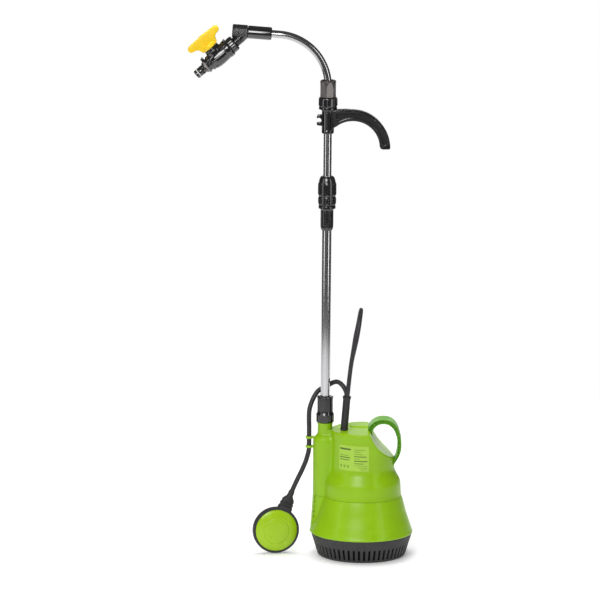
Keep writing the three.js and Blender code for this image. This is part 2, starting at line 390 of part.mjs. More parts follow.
// ---------------------------------------------------------------- power cord: up from the gland, over and down behind, into a tied coil
{
  const pts = [[-26.4, -13.4, 278], [-25.6, -13.4, 284], [-24.2, -12.8, 299], [-22, -12.2, 320], [-19, -11.6, 341], [-14.6, -11, 361], [-10.6, -9.8, 380], [-7.8, -6, 397], [-6, 1, 409.5], [-4.8, 12, 417], [-4.3, 24, 419.5], [-4.4, 36, 417.8], [-5.2, 48, 411.5], [-6.6, 58, 401], [-9, 66, 385], [-12.8, 70.5, 365], [-16.4, 73.5, 340], [-20.6, 76, 310], [-24.4, 78.5, 275], [-27.2, 80, 252], [-29, 81.5, 232], [-29.5, 83.5, 205], [-26.5, 87, 165], [-14, 91, 125], [2, 93.5, 88], [18, 93.5, 60], [36, 95, 34], [53.5, 106, 14.5], [67, 121.5, 6], [74.6, 138, 4], [77.2, 152, 3.9]];
  part("power_cable", sweep(spline(pts), POWER_D / 2, 46, 8), RUBBER);
}
part("power_cord_coil", ring(COIL_MID_R - COIL_HALF_W, COIL_MID_R + COIL_HALF_W, COIL_Z0, COIL_Z1, 28, COIL_AT), RUBBER);
{
  const x = COIL_AT[0] + COIL_MID_R;
  const w = COIL_HALF_W;
  let s = cut(box(x - w - 2.2, x + w + 2.2, COIL_AT[1] - 5, COIL_AT[1] + 5, 0, COIL_Z1 + 1.9), box(x - w - 0.6, x + w + 0.6, COIL_AT[1] - 8, COIL_AT[1] + 8, COIL_Z0 - 0.3, COIL_Z1 + 0.4));
  part("coil_tie", s, WHITE);
}
{
  // plug lying along the coil's left side, its pins towards the pump
  const m = frame([1, 0, 0], [0, 0, 1], [0, -1, 0], [COIL_AT[0] - COIL_MID_R, COIL_AT[1], COIL_Z1 + GAP + 18.6]);
  let s = revolve([[0, -38], [4.6, -38], [5.6, -20], [14.5, -12], [18.4, -4], [18.4, 22], [16.5, 26], [0, 26]], 16, [0, 0], m);
  s = join(s, rod(2.4, 25, 44, 10, [9.5, 0], m), rod(2.4, 25, 44, 10, [-9.5, 0], m));
  part("power_plug", s, RUBBER);
}

export default root;
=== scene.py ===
import bpy, bmesh, math, json
import numpy as np
from mathutils import Vector, Matrix


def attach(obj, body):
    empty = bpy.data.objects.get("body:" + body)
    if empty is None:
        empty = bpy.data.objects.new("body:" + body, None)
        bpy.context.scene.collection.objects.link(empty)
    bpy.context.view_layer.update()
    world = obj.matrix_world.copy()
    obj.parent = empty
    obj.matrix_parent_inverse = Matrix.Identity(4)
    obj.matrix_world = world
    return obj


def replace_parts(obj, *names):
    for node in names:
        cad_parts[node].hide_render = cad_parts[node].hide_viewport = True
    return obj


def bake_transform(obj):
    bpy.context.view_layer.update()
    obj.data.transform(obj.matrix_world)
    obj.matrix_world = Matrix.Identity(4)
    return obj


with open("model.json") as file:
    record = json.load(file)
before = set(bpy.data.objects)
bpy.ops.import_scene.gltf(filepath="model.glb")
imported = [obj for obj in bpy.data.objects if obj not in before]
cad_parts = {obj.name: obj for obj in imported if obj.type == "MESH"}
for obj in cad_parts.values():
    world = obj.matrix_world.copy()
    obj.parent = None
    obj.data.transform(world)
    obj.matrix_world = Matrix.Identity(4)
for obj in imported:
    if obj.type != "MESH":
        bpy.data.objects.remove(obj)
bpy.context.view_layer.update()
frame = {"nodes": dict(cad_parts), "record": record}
scene = bpy.context.scene
MM = 0.001
RX = -64.0                      # riser axis, mm
rad = math.radians

# ------------------------------------------------------------------ camera
EL, ROLL, DIST, MM_PX = rad(11.5), rad(0.5), 13.0, 1.7
cam_data = bpy.data.cameras.new("camera")
cam_data.sensor_width = 36.0
cam_data.lens = DIST * 1000 * 36.0 / (600 * MM_PX)
cam_data.clip_end = 100
camera = bpy.data.objects.new("camera", cam_data)
scene.collection.objects.link(camera)
target = Vector((-0.1085, 0.0, 0.4415))
fwd = Vector((0, math.cos(EL), -math.sin(EL)))
r0, u0 = Vector((1, 0, 0)), Vector((0, math.sin(EL), math.cos(EL)))
cr = r0 * math.cos(ROLL) + u0 * math.sin(ROLL)
cu = -r0 * math.sin(ROLL) + u0 * math.cos(ROLL)
m = Matrix.Identity(4)
for i in range(3):
    m[i][0], m[i][1], m[i][2], m[i][3] = cr[i], cu[i], -fwd[i], (target - fwd * DIST)[i]
camera.matrix_world = m
scene.camera = camera
scene.view_settings.view_transform = "Standard"
scene.view_settings.look = "None"


# ------------------------------------------------------------------ materials
def material(name, base, rough, metallic=0.0, spec=0.5, coat=0.0, var=0.06, var_scale=35.0,
             bump=0.15, bump_scale=2600.0, bump_dist=0.00012, rough_var=0.08, stretch=(1, 1, 1),
             sheen=0.0, speck=0.0, speck_col=None, edge_highlight=None, subsurface=0.0):
    mt = bpy.data.materials.new(name)
    mt.use_nodes = True
    nt = mt.node_tree
    nt.nodes.clear()
    out = nt.nodes.new("ShaderNodeOutputMaterial")
    b = nt.nodes.new("ShaderNodeBsdfPrincipled")
    nt.links.new(b.outputs[0], out.inputs[0])
    b.inputs["Metallic"].default_value = metallic
    b.inputs["Specular IOR Level"].default_value = spec
    b.inputs["Coat Weight"].default_value = coat
    b.inputs["Coat Roughness"].default_value = 0.12
    b.inputs["Sheen Weight"].default_value = sheen
    if subsurface:
        b.inputs["Subsurface Weight"].default_value = subsurface
        b.inputs["Subsurface Scale"].default_value = 0.004
    tc = nt.nodes.new("ShaderNodeTexCoord")
    mp = nt.nodes.new("ShaderNodeMapping")
    mp.inputs["Scale"].default_value = stretch
    nt.links.new(tc.outputs["Object"], mp.inputs[0])
    n1 = nt.nodes.new("ShaderNodeTexNoise")
    n1.inputs["Scale"].default_value = var_scale
    n1.inputs["Detail"].default_value = 5
    nt.links.new(mp.outputs[0], n1.inputs["Vector"])
    ramp = nt.nodes.new("ShaderNodeValToRGB")
    ramp.color_ramp.elements[0].position = 0.3
    ramp.color_ramp.elements[1].position = 0.7
    lo = [max(0, c * (1 - var)) for c in base]
    hi = [min(1, c * (1 + var)) for c in base]
    ramp.color_ramp.elements[0].color = (*lo, 1)
    ramp.color_ramp.elements[1].color = (*hi, 1)
    nt.links.new(n1.outputs["Fac"], ramp.inputs[0])
    col = ramp.outputs[0]
    if speck:
        n3 = nt.nodes.new("ShaderNodeTexNoise")
        n3.inputs["Scale"].default_value = 900
        n3.inputs["Detail"].default_value = 2
        nt.links.new(tc.outputs["Object"], n3.inputs["Vector"])
        r3 = nt.nodes.new("ShaderNodeMapRange")
        r3.inputs["From Min"].default_value = 0.66
        r3.inputs["From Max"].default_value = 0.74
        r3.inputs["To Max"].default_value = speck
        nt.links.new(n3.outputs["Fac"], r3.inputs["Value"])
        mx = nt.nodes.new("ShaderNodeMix")
        mx.data_type = "RGBA"
        nt.links.new(r3.outputs[0], mx.inputs["Factor"])
        nt.links.new(col, mx.inputs[6])
        mx.inputs[7].default_value = (*(speck_col or hi), 1)
        col = mx.outputs[2]
    # paler colour on convex edges, found by pointiness: a painted edge highlight
    if edge_highlight is not None:
        geo = nt.nodes.new("ShaderNodeNewGeometry")
        highlight_mask = nt.nodes.new("ShaderNodeMapRange")
        highlight_mask.inputs["From Min"].default_value = 0.53
        highlight_mask.inputs["From Max"].default_value = 0.62
        highlight_mask.inputs["To Max"].default_value = edge_highlight[1]
        nt.links.new(geo.outputs["Pointiness"], highlight_mask.inputs["Value"])
        mx = nt.nodes.new("ShaderNodeMix")
        mx.data_type = "RGBA"
        nt.links.new(highlight_mask.outputs[0], mx.inputs["Factor"])
        nt.links.new(col, mx.inputs[6])
        mx.inputs[7].default_value = (*edge_highlight[0], 1)
        col = mx.outputs[2]
    nt.links.new(col, b.inputs["Base Color"])
    n2 = nt.nodes.new("ShaderNodeTexNoise")
    n2.inputs["Scale"].default_value = var_scale * 4
    n2.inputs["Detail"].default_value = 6
    nt.links.new(mp.outputs[0], n2.inputs["Vector"])
    mr = nt.nodes.new("ShaderNodeMapRange")
    mr.inputs["From Min"].default_value = 0.3
    mr.inputs["From Max"].default_value = 0.7
    mr.inputs["To Min"].default_value = max(0.02, rough - rough_var)
    mr.inputs["To Max"].default_value = min(1.0, rough + rough_var)
    nt.links.new(n2.outputs["Fac"], mr.inputs["Value"])
    nt.links.new(mr.outputs[0], b.inputs["Roughness"])
    nb = nt.nodes.new("ShaderNodeTexNoise")
    nb.inputs["Scale"].default_value = bump_scale
    nb.inputs["Detail"].default_value = 3
    nt.links.new(mp.outputs[0], nb.inputs["Vector"])
    bp = nt.nodes.new("ShaderNodeBump")
    bp.inputs["Strength"].default_value = bump
    bp.inputs["Distance"].default_value = bump_dist
    nt.links.new(nb.outputs["Fac"], bp.inputs["Height"])
    nt.links.new(bp.outputs[0], b.inputs["Normal"])
    return mt


def lin(r, g, b):
    f = lambda c: (c / 255 / 12.92) if c / 255 <= 0.04045 else ((c / 255 + 0.055) / 1.055) ** 2.4
    return (f(r), f(g), f(b))


GREEN = material("green_moulded", lin(143, 190, 10), 0.36, spec=0.4, coat=0.06, var=0.03, bump=0.06, bump_scale=1500, rough_var=0.05, subsurface=0.03, edge_highlight=(lin(176, 212, 70), 0.4))
# darker, more saturated copy of the housing green for the handle: painted shade
GREEN_DK = material("green_handle_shaded", lin(92, 162, 14), 0.42, spec=0.35, coat=0.05, var=0.05, bump=0.12, bump_scale=1500, rough_var=0.05, edge_highlight=(lin(170, 215, 90), 0.5))
FLOATG = material("green_float", lin(158, 196, 12), 0.34, spec=0.4, coat=0.1, var=0.03, bump=0.08, bump_scale=1200, rough_var=0.05, edge_highlight=(lin(190, 224, 90), 0.4))
FOOT = material("foot_grey", lin(52, 50, 51), 0.6, spec=0.4, var=0.1, bump=0.3, bump_scale=1900, rough_var=0.08, speck=0.2, speck_col=lin(82, 79, 80), edge_highlight=(lin(92, 89, 90), 0.5))
BLACK = material("black_moulded", lin(28, 27, 29), 0.2, spec=0.85, var=0.12, bump=0.07, bump_scale=1700, rough_var=0.07, edge_highlight=(lin(70, 70, 72), 0.4))
BLACK2 = material("black_glossy", lin(24, 23, 24), 0.12, spec=1.0, coat=0.25, var=0.12, bump=0.03, bump_scale=1300, rough_var=0.06, edge_highlight=(lin(74, 74, 76), 0.35))
RUBBER = material("black_rubber", lin(44, 42, 45), 0.55, spec=0.4, var=0.12, bump=0.35, bump_scale=2400, rough_var=0.08, speck=0.12, speck_col=lin(78, 75, 80))
CABLE = material("cable_rubber", lin(48, 45, 49), 0.45, spec=0.4, var=0.1, var_scale=60, bump=0.3, bump_scale=3000, rough_var=0.08, speck=0.1, speck_col=lin(80, 76, 82))
GRIPG = material("grip_grey", lin(134, 129, 126), 0.42, var=0.08, bump=0.3, bump_scale=2200, rough_var=0.06, edge_highlight=(lin(180, 176, 174), 0.4))
# darker copy of the grip grey: painted shade for every other flat
GRIP_SHADED = material("grip_painted_shade", lin(98, 94, 92), 0.44, var=0.08, bump=0.2, bump_scale=2200, rough_var=0.06, edge_highlight=(lin(150, 146, 144), 0.4))
GRIPD = material("grip_dark", lin(62, 59, 58), 0.45, var=0.1, bump=0.3, bump_scale=2200, rough_var=0.06, edge_highlight=(lin(120, 117, 115), 0.4))
YELLOW = material("yellow_moulded", lin(255, 212, 36), 0.36, spec=0.4, coat=0.1, var=0.04, bump=0.1, bump_scale=1400, rough_var=0.05, subsurface=0.05, edge_highlight=(lin(255, 226, 100), 0.4))
WHITE = material("white_nylon", lin(222, 220, 212), 0.45, var=0.04, bump=0.15, subsurface=0.1)
TUBE = material("tube_polished", (0.54, 0.54, 0.55), 0.18, metallic=1.0, var=0.05, var_scale=220, bump=0.002, bump_scale=900, bump_dist=0.00006, rough_var=0.012, stretch=(1, 1, 0.03))
TUBE2 = material("tube_bent", (0.46, 0.46, 0.47), 0.16, metallic=1.0, var=0.05, var_scale=90, bump=0.002, bump_scale=700, bump_dist=0.00006, rough_var=0.012)
STEEL = material("steel_brushed", (0.55, 0.56, 0.58), 0.33, metallic=1.0, var=0.12, var_scale=160, bump=0.2, bump_scale=1200, bump_dist=0.00006, stretch=(1, 1, 0.05))
IRON = material("lamination_stack", (0.2, 0.21, 0.23), 0.5, metallic=0.9, var=0.25, var_scale=600, bump=0.4, bump_scale=900, bump_dist=0.0003, stretch=(0.05, 0.05, 2.2))
COPPER = material("enamelled_copper", (0.55, 0.23, 0.08), 0.35, metallic=0.9, var=0.25, var_scale=400, bump=0.6, bump_scale=700, bump_dist=0.0006, stretch=(0.3, 0.3, 2.0))
BRASS = material("brass_turned", (0.62, 0.45, 0.13), 0.3, metallic=1.0, var=0.1, bump=0.15)
INNER = material("inner_plastic", lin(96, 95, 98), 0.55, var=0.1, bump=0.3, speck=0.15, speck_col=lin(130, 128, 130))
LABEL = material("label_film", lin(168, 206, 74), 0.42, spec=0.3, var=0.03, bump=0.06, bump_scale=900, rough_var=0.04)
INK = material("label_ink", lin(78, 110, 30), 0.55, var=0.15, var_scale=500, bump=0.1)
INK2 = material("label_ink_light", lin(116, 160, 42), 0.55, var=0.15, var_scale=500, bump=0.1)
# near-black painted shade for the inside behind the foot's slots
SLOT_SHADE = material("slot_painted_shade", lin(17, 17, 17), 0.7, spec=0.2, var=0.2, bump=0.4)
# dark olive painted shade for the vent openings
VENT_SHADE = material("vent_painted_shade", lin(34, 44, 20), 0.7, var=0.2, bump=0.2)


# ------------------------------------------------------------------ mesh helpers (millimetres in, metres out)
def build(name, verts, faces, mat, sharp=32, M=None, body=None, flip=None):
    v = np.asarray(verts, float)
    if M is not None:
        M = np.array(M, float)
        v = v @ M[:3, :3].T + M[:3, 3]
    me = bpy.data.meshes.new(name)
    me.from_pydata([tuple(p) for p in v * MM], [], [tuple(int(i) for i in f) for f in faces])
    me.validate()
    bm = bmesh.new()
    bm.from_mesh(me)
    bmesh.ops.remove_doubles(bm, verts=bm.verts, dist=2e-6)
    bmesh.ops.recalc_face_normals(bm, faces=bm.faces)
    bm.to_mesh(me)
    bm.free()
    me.polygons.foreach_set("use_smooth", [True] * len(me.polygons))
    me.set_sharp_from_angle(angle=rad(sharp))
    me.materials.append(mat)
    o = bpy.data.objects.new(name, me)
    scene.collection.objects.link(o)
    if body:
        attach(o, body)
    return o


def rounded(p, r, n=3, closed=False):
    """polyline with its corners rounded by about r"""
    p = [np.array(q[:2], float) for q in p]
    rr = [q if isinstance(q, (int, float)) else r for q in [r] * len(p)]
    out = []
    N = len(p)
    for i in range(N):
        if not closed and i in (0, N - 1):
            out.append(p[i]); continue
        a, b = p[i - 1], p[(i + 1) % N]
        la, lb = np.linalg.norm(a - p[i]), np.linalg.norm(b - p[i])
        if la < 1e-9 or lb < 1e-9:
            continue
        ca = np.dot(a - p[i], b - p[i]) / la / lb
        if ca < -0.995:
            out.append(p[i]); continue
        d = min(rr[i], 0.45 * la, 0.45 * lb)
        s, e = p[i] + (a - p[i]) * d / la, p[i] + (b - p[i]) * d / lb
        for k in range(n + 1):
            t = k / n
            out.append((1 - t) ** 2 * s + 2 * t * (1 - t) * p[i] + t * t * e)
    return out


def lathe(name, prof, mat, seg=64, at=(RX, 0), M=None, body="pump", closed=False, r=0.5, n=3, mod=None, sharp=32, dens=None):
    """full turn of a profile of (radius, z); mod(theta, radius, z) gives a new radius"""
    p = rounded(prof, r, n, closed) if r else [np.array(q, float) for q in prof]
    if dens:                                             # extra rows so that mod has something to move
        q = []
        L = len(p)
        for i in range(L if closed else L - 1):
            a, b = p[i], p[(i + 1) % L]
            k = max(1, int(np.ceil(np.linalg.norm(b - a) / dens)))
            q += [a + (b - a) * t / k for t in range(k)]
        if not closed:
            q.append(p[-1])
        p = q
    th = np.arange(seg) * 2 * math.pi / seg
    verts, faces, idx = [], [], []
    for q in p:
        if q[0] < 1e-6:
            idx.append([len(verts)]); verts.append((at[0], at[1], q[1]))
        else:
            row = []
            for t in th:
                rr = mod(t, q[0], q[1]) if mod else q[0]
                row.append(len(verts)); verts.append((at[0] + rr * math.cos(t), at[1] + rr * math.sin(t), q[1]))
            idx.append(row)
    R = len(idx)
    for i in range(R if closed else R - 1):
        a, b = idx[i], idx[(i + 1) % R]
        for k in range(seg):
            k2 = (k + 1) % seg
            if len(a) == 1 and len(b) == 1:
                continue
            if len(a) == 1:
                faces.append((a[0], b[k2], b[k]))
            elif len(b) == 1:
                faces.append((a[k], a[k2], b[0]))
            else:
                faces.append((a[k], a[k2], b[k2], b[k]))
    return build(name, verts, faces, mat, sharp, M, body)


def catmull(pts, step):
    """centripetal spline through pts, resampled about every step"""
    P = [np.array(p, float) for p in pts]
    P = [2 * P[0] - P[1]] + P + [2 * P[-1] - P[-2]]
    out = []
    for i in range(1, len(P) - 2):
        p0, p1, p2, p3 = P[i - 1:i + 3]
        t0 = 0; t1 = t0 + np.linalg.norm(p1 - p0) ** 0.5; t2 = t1 + np.linalg.norm(p2 - p1) ** 0.5; t3 = t2 + np.linalg.norm(p3 - p2) ** 0.5
        n = max(2, int(np.linalg.norm(p2 - p1) / (step * 0.25)))
        for t in np.linspace(t1, t2, n, endpoint=False):
            a1 = (t1 - t) / (t1 - t0) * p0 + (t - t0) / (t1 - t0) * p1
            a2 = (t2 - t) / (t2 - t1) * p1 + (t - t1) / (t2 - t1) * p2
            a3 = (t3 - t) / (t3 - t2) * p2 + (t - t2) / (t3 - t2) * p3
            b1 = (t2 - t) / (t2 - t0) * a1 + (t - t0) / (t2 - t0) * a2
            b2 = (t3 - t) / (t3 - t1) * a2 + (t - t1) / (t3 - t1) * a3
            out.append((t2 - t) / (t2 - t1) * b1 + (t - t1) / (t2 - t1) * b2)
    out.append(P[-2])
    out = np.array(out)
    d = np.r_[0, np.cumsum(np.linalg.norm(np.diff(out, axis=0), axis=1))]
    n = max(2, int(round(d[-1] / step)))
    s = np.linspace(0, d[-1], n + 1)
    return np.stack([np.interp(s, d, out[:, k]) for k in range(3)], 1)


def length(p):
    return float(np.linalg.norm(np.diff(p, axis=0), axis=1).sum())


def frames(path):
    T = np.gradient(path, axis=0)
    T /= np.linalg.norm(T, axis=1)[:, None]
    u = np.cross(T[0], [0, 1, 0])
    if np.linalg.norm(u) < 1e-3:
        u = np.cross(T[0], [1, 0, 0])
    u /= np.linalg.norm(u)
    U = [u]
    for i in range(1, len(path)):
        u = U[-1] - T[i] * np.dot(U[-1], T[i])
        U.append(u / np.linalg.norm(u))
    U = np.array(U)
    return T, U, np.cross(T, U)


def tube(name, path, radius, mat, seg=16, body=None, hollow=None, bevel=0.4, rfun=None, sharp=40):
    """a round tube along a path; hollow is its bore radius"""
    path = np.asarray(path, float)
    T, U, W = frames(path)
    a = np.arange(seg) * 2 * math.pi / seg
    verts, faces, rings = [], [], []

    def ring(i, r, shift=0.0):
        c = path[i] + T[i] * shift
        row = list(range(len(verts), len(verts) + seg))
        for t in a:
            verts.append(c + r * (math.cos(t) * U[i] + math.sin(t) * W[i]))
        rings.append(row)
    n = len(path)
    R = (lambda i: rfun(i / (n - 1))) if rfun else (lambda i: radius)
    ring(0, R(0) - bevel)
    ring(0, R(0) - bevel * 0.3, bevel * 0.3)
    for i in range(n):
        ring(i, R(i), bevel if i == 0 else (-bevel if i == n - 1 else 0))
    ring(n - 1, R(n - 1) - bevel * 0.3, -bevel * 0.3)
    ring(n - 1, R(n - 1) - bevel)
    if hollow:
        for i in range(n - 1, -1, -1):
            ring(i, hollow)
        pairs = [(k, (k + 1) % len(rings)) for k in range(len(rings))]
    else:
        pairs = [(k, k + 1) for k in range(len(rings) - 1)]
    for x, y in pairs:
        A, B = rings[x], rings[y]
        for k in range(seg):
            k2 = (k + 1) % seg
            faces.append((A[k], A[k2], B[k2], B[k]))
    if not hollow:
        faces.append(tuple(rings[0][::-1]))
        faces.append(tuple(rings[-1]))
    return build(name, verts, faces, mat, sharp, None, body)


def prism(name, outline, d0, d1, mat, M, body=None, bevel=0.6, seg=2, sharp=32):
    """outline (a, b) extruded from d0 to d1 along local Z, edges rounded"""
    n = len(outline)
    v = [(p[0], p[1], d0) for p in outline] + [(p[0], p[1], d1) for p in outline]
    f = [tuple(range(n))[::-1], tuple(range(n, 2 * n))] + [(i, (i + 1) % n, n + (i + 1) % n, n + i) for i in range(n)]
    o = build(name, v, f, mat, sharp, M, body)
    if bevel:
        bevelled(o, bevel, seg)
    return o


def bevelled(o, width, seg=2, angle=30):
    md = o.modifiers.new("edge", "BEVEL")
    md.width = width * MM
    md.segments = seg
    md.limit_method = "ANGLE"
    md.angle_limit = rad(angle)
    md.use_clamp_overlap = True
    apply(o)


def apply(o):
    dg = bpy.context.evaluated_depsgraph_get()
    me = bpy.data.meshes.new_from_object(o.evaluated_get(dg))
    o.modifiers.clear()
    o.data = me
    me.polygons.foreach_set("use_smooth", [True] * len(me.polygons))
    me.set_sharp_from_angle(angle=rad(34))


def boolean(o, others, op="DIFFERENCE"):
    for c in others:
        md = o.modifiers.new("b", "BOOLEAN")
        md.operation = op
        md.solver = "EXACT"
        md.object = c
        apply(o)
        bpy.data.objects.remove(c, do_unlink=True)
    return o


def frame_m(x, y, z, at=(0, 0, 0)):
    x, y, z = [np.array(q, float) / np.linalg.norm(q) for q in (x, y, z)]
    M = np.eye(4)
    M[:3, 0], M[:3, 1], M[:3, 2], M[:3, 3] = x, y, z, at
    return M


XZ = frame_m((1, 0, 0), (0, 0, 1), (0, -1, 0))          # outline in X-Z, depth towards -Y
smooth = lambda t: t * t * (3 - 2 * t)


# ------------------------------------------------------------------ strainer foot: 56 slots cut through a tapered wall
def strainer():
    N = 56
    prof = [(0, 0.0), (58, 0.0), (70, 0.0), (72.6, 0.25), (74.3, 1.4), (75.2, 3.0), (75.7, 4.4), (76.6, 7), (77.6, 10), (78.8, 14), (80.0, 18.2), (80.6, 20.4), (81.2, 22.4), (82.4, 26), (83.8, 30), (85.0, 34), (85.9, 37.6), (86.0, 38.6), (85.8, 39.1), (85.0, 39.3)]
    inner = [(82.4, 39.3), (82.2, 35), (79.6, 26), (78.2, 22.4), (77.7, 20), (76.9, 18.2), (74.6, 10), (73.6, 7), (72.8, 4.4), (71.5, 3.4), (60, 3.0), (0, 3.0)]
    cols = [0.0, 0.06, 0.12, 0.25, 0.28, 0.5, 0.72, 0.75, 0.88, 0.94]
    ang = [(k + c) * 2 * math.pi / N for k in range(N) for c in cols]
    C = len(cols)
    inslot = lambda c: 4 <= c < 6                       # columns 4..6 edge the slot (0.28 to 0.72)
    allp = prof + inner
    verts, idx = [], []
    for i, (r, z) in enumerate(allp):
        if r == 0:
            idx.append([len(verts)]); verts.append((0, 0, z)); continue
        row = []
        for j, t in enumerate(ang):
            c = cols[j % C]
            rr = r
            if i < len(prof) and 22 <= z < 37:          # fluting above the slots
                k = smooth(min(1, max(0, (36.5 - z) / 9))) * 0.9
                rr = r - k * (smooth(max(0, 1 - abs(c - 0.5) / 0.24)) if abs(c - 0.5) < 0.24 else 0)
            if i < len(prof) and 3 < z < 23 and c in (0.25, 0.75):
                rr = r - 0.05
            row.append(len(verts)); verts.append((rr * math.cos(t), rr * math.sin(t), z))
        idx.append(row)
    zs0, zs1 = 4.4, 22.4
    P = len(prof)
    oz = [i for i, (r, z) in enumerate(prof) if abs(z - zs0) < 1e-6 or abs(z - zs1) < 1e-6]
    iz = [P + i for i, (r, z) in enumerate(inner) if abs(z - zs0) < 1e-6 or abs(z - zs1) < 1e-6]
    faces = []
    n = len(ang)
    for i in range(len(allp) - 1):
        a, b = idx[i], idx[i + 1]
        for j in range(n):
            j2 = (j + 1) % n
            if len(a) == 1:
                faces.append((a[0], b[j2], b[j])); continue
            if len(b) == 1:
                faces.append((a[j], a[j2], b[0])); continue
            c = j % C
            if inslot(c) and ((oz[0] <= i < oz[1]) or (iz[0] <= i < iz[1])):
                continue
            faces.append((a[j], a[j2], b[j2], b[j]))
    outer_rows = list(range(oz[0], oz[1] + 1))
    inner_rows = list(range(iz[0], iz[1] + 1))[::-1]
    zo = [allp[i][1] for i in outer_rows]
    zi = [allp[i][1] for i in inner_rows]
    for k in range(N):
        for e in (4, 6):                                # slot's two cheeks
            j = k * C + e
            o = [idx[i][j] for i in outer_rows]
            q = [idx[i][j] for i in inner_rows]
            faces.append(tuple(o + q[::-1]))
        for top in (0, -1):
            js = [k * C + 4, k * C + 5, k * C + 6]
            o = [idx[outer_rows[top]][j] for j in js]
            q = [idx[inner_rows[top]][j] for j in js]
            faces.append(tuple(o + q[::-1]))
    return build("strainer_shell", verts, faces, FOOT, 30, None, "pump")


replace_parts(strainer(), "strainer_base")
# near-black drum behind the slots: painted shade for the hollow inside the foot
lathe("strainer_shade_drum", [(71.0, 3.6), (74.6, 22.9), (73.8, 23.1), (70.2, 3.7)], SLOT_SHADE, 112, (0, 0), closed=True, r=0)


# ------------------------------------------------------------------ housings: one radius per direction and height
TABLES = {}


def interp(tab, z, sm=1.2):
    """smoothed lookup of (value, height) pairs"""
    key = (id(tab), sm)
    if key not in TABLES:
        zz = np.linspace(min(t[1] for t in tab), max(t[1] for t in tab), 2000)
        order = sorted(tab, key=lambda t: t[1])
        rr = np.interp(zz, [t[1] for t in order], [t[0] for t in order])
        k = int(sm / (zz[1] - zz[0]))
        if k > 1:
            pad = np.pad(rr, k, mode="reflect", reflect_type="odd")
            w = np.hanning(2 * k + 1); w /= w.sum()
            rr = np.convolve(pad, w, "valid")
        TABLES[key] = (tab, float(zz[0]), float(zz[-1]), rr.tolist())
    _, a, b, rr = TABLES[key]
    q = (min(max(z, a), b) - a) / (b - a) * 1999
    i = min(int(q), 1998)
    return rr[i] + (rr[i + 1] - rr[i]) * (q - i)


LOW = [(86.4, 41.0), (86.0, 43.5), (84.8, 46.8), (81.8, 57), (78.3, 67.4), (75.0, 78), (72.4, 88.5), (69.7, 98), (67.7, 103.9)]
UPP = [(67.6, 104.1), (66.7, 109), (66.3, 118), (65.7, 127), (64.3, 132.5), (59.6, 141), (56.6, 146.5), (55.3, 151.5), (55, 157), (55, 222)]
COLT = [(23.6, 36), (22.8, 55), (20.8, 90), (20.1, 104), (20, 110), (20, 197.5), (19.2, 202.2), (16.4, 206.4), (13.2, 209.6), (12.4, 212), (12.4, 230)]


def smax(a, b, k):
    h = max(k - abs(a - b), 0) / k
    return max(a, b) + h * h * h * k / 6


def shell_r(t, z, tab):
    main = interp(tab, z)
    phi = (t - math.pi + math.pi) % (2 * math.pi) - math.pi
    Rc = interp(COLT, z, 0.8)
    d = -RX
    s = Rc * Rc - (d * math.sin(phi)) ** 2
    pt = math.asin(min(1, Rc / d))
    if abs(phi) > 1.2:
        return main
    col = d * math.cos(phi) + math.sqrt(s) if s > 0 else d * math.cos(pt) - (abs(phi) - pt) * 260
    k = 5.0 if z < 199 else 3.0
    return smax(main, col, k)


TH = []
t = 0.0
while t < 360 - 1e-6:
    TH.append(rad(t))
    dd = abs(t - 180)
    t += 0.5 if dd < 26 else (1.0 if dd < 40 else 2.0)
SHOULDER_Z = [(218.2, 0), (218.2, 9), (217.4, 12.6), (213.2, 15.2), (203.5, 19.5), (193, 27), (185, 35), (178.5, 43), (172.3, 51.4), (168, 58)]
SHOULDER = [(0, 218.2), (9, 218.2), (12.6, 217.4), (15.2, 213.2), (19.5, 203.5), (27, 193), (35, 185), (43, 178.5), (51.4, 172.3), (58, 168)]


def ztop(x, y):
    base = interp(SHOULDER_Z, min(max(x, 0), 57.9), 1.4)
    # raised pad at the back of the top
    ex = smooth(min(1, max(0, (x + 21) / 1.2))) * smooth(min(1, max(0, (12 - x) / 2.0)))
    ey = smooth(min(1, max(0, (y - 14) / 1.2))) * smooth(min(1, max(0, (52.6 - math.hypot(x, y)) / 1.0)))
    return base + 1.4 * ex * ey


def lower_housing():
    zs = [39.6, 39.7, 40.1, 40.7, 41.4, 42.0, 42.6, 43.4, 44.2, 46] + list(np.arange(48, 59, 2.2)) + [59.2, 59.7, 60.0, 60.4, 61.0] + list(np.arange(63, 102, 2.6)) + [102.4, 103.0, 103.45, 103.75, 103.85]
    verts, faces = [], []
    rows = []
    for z in zs:
        row = []
        for t in TH:
            r = shell_r(t, max(z, 43.0), LOW)
            if z < 43:                                   # bead along the bottom edge
                r += 0.15 + 0.7 * math.sin(math.pi * min(1, max(0, (z - 39.5) / 3.6))) ** 0.6 - (0.5 if z < 39.65 else 0)
            if z < 60.0:                                 # faint step in the skirt
                r += 0.35
            if z > 103.5:
                r -= (z - 103.5) * 1.6
            row.append(len(verts)); verts.append((r * math.cos(t), r * math.sin(t), z))
        rows.append(row)
    for z in zs[::-1]:
        row = []
        for t in TH:
            r = shell_r(t, max(z, 43.0), LOW) - 2.8
            row.append(len(verts)); verts.append((r * math.cos(t), r * math.sin(t), z))
        rows.append(row)
    n = len(TH)
    for i in range(len(rows)):
        a, b = rows[i], rows[(i + 1) % len(rows)]
        for k in range(n):
            faces.append((a[k], a[(k + 1) % n], b[(k + 1) % n], b[k]))
    o = build("lower_shell", verts, faces, GREEN, 30, None, "pump")
    return o


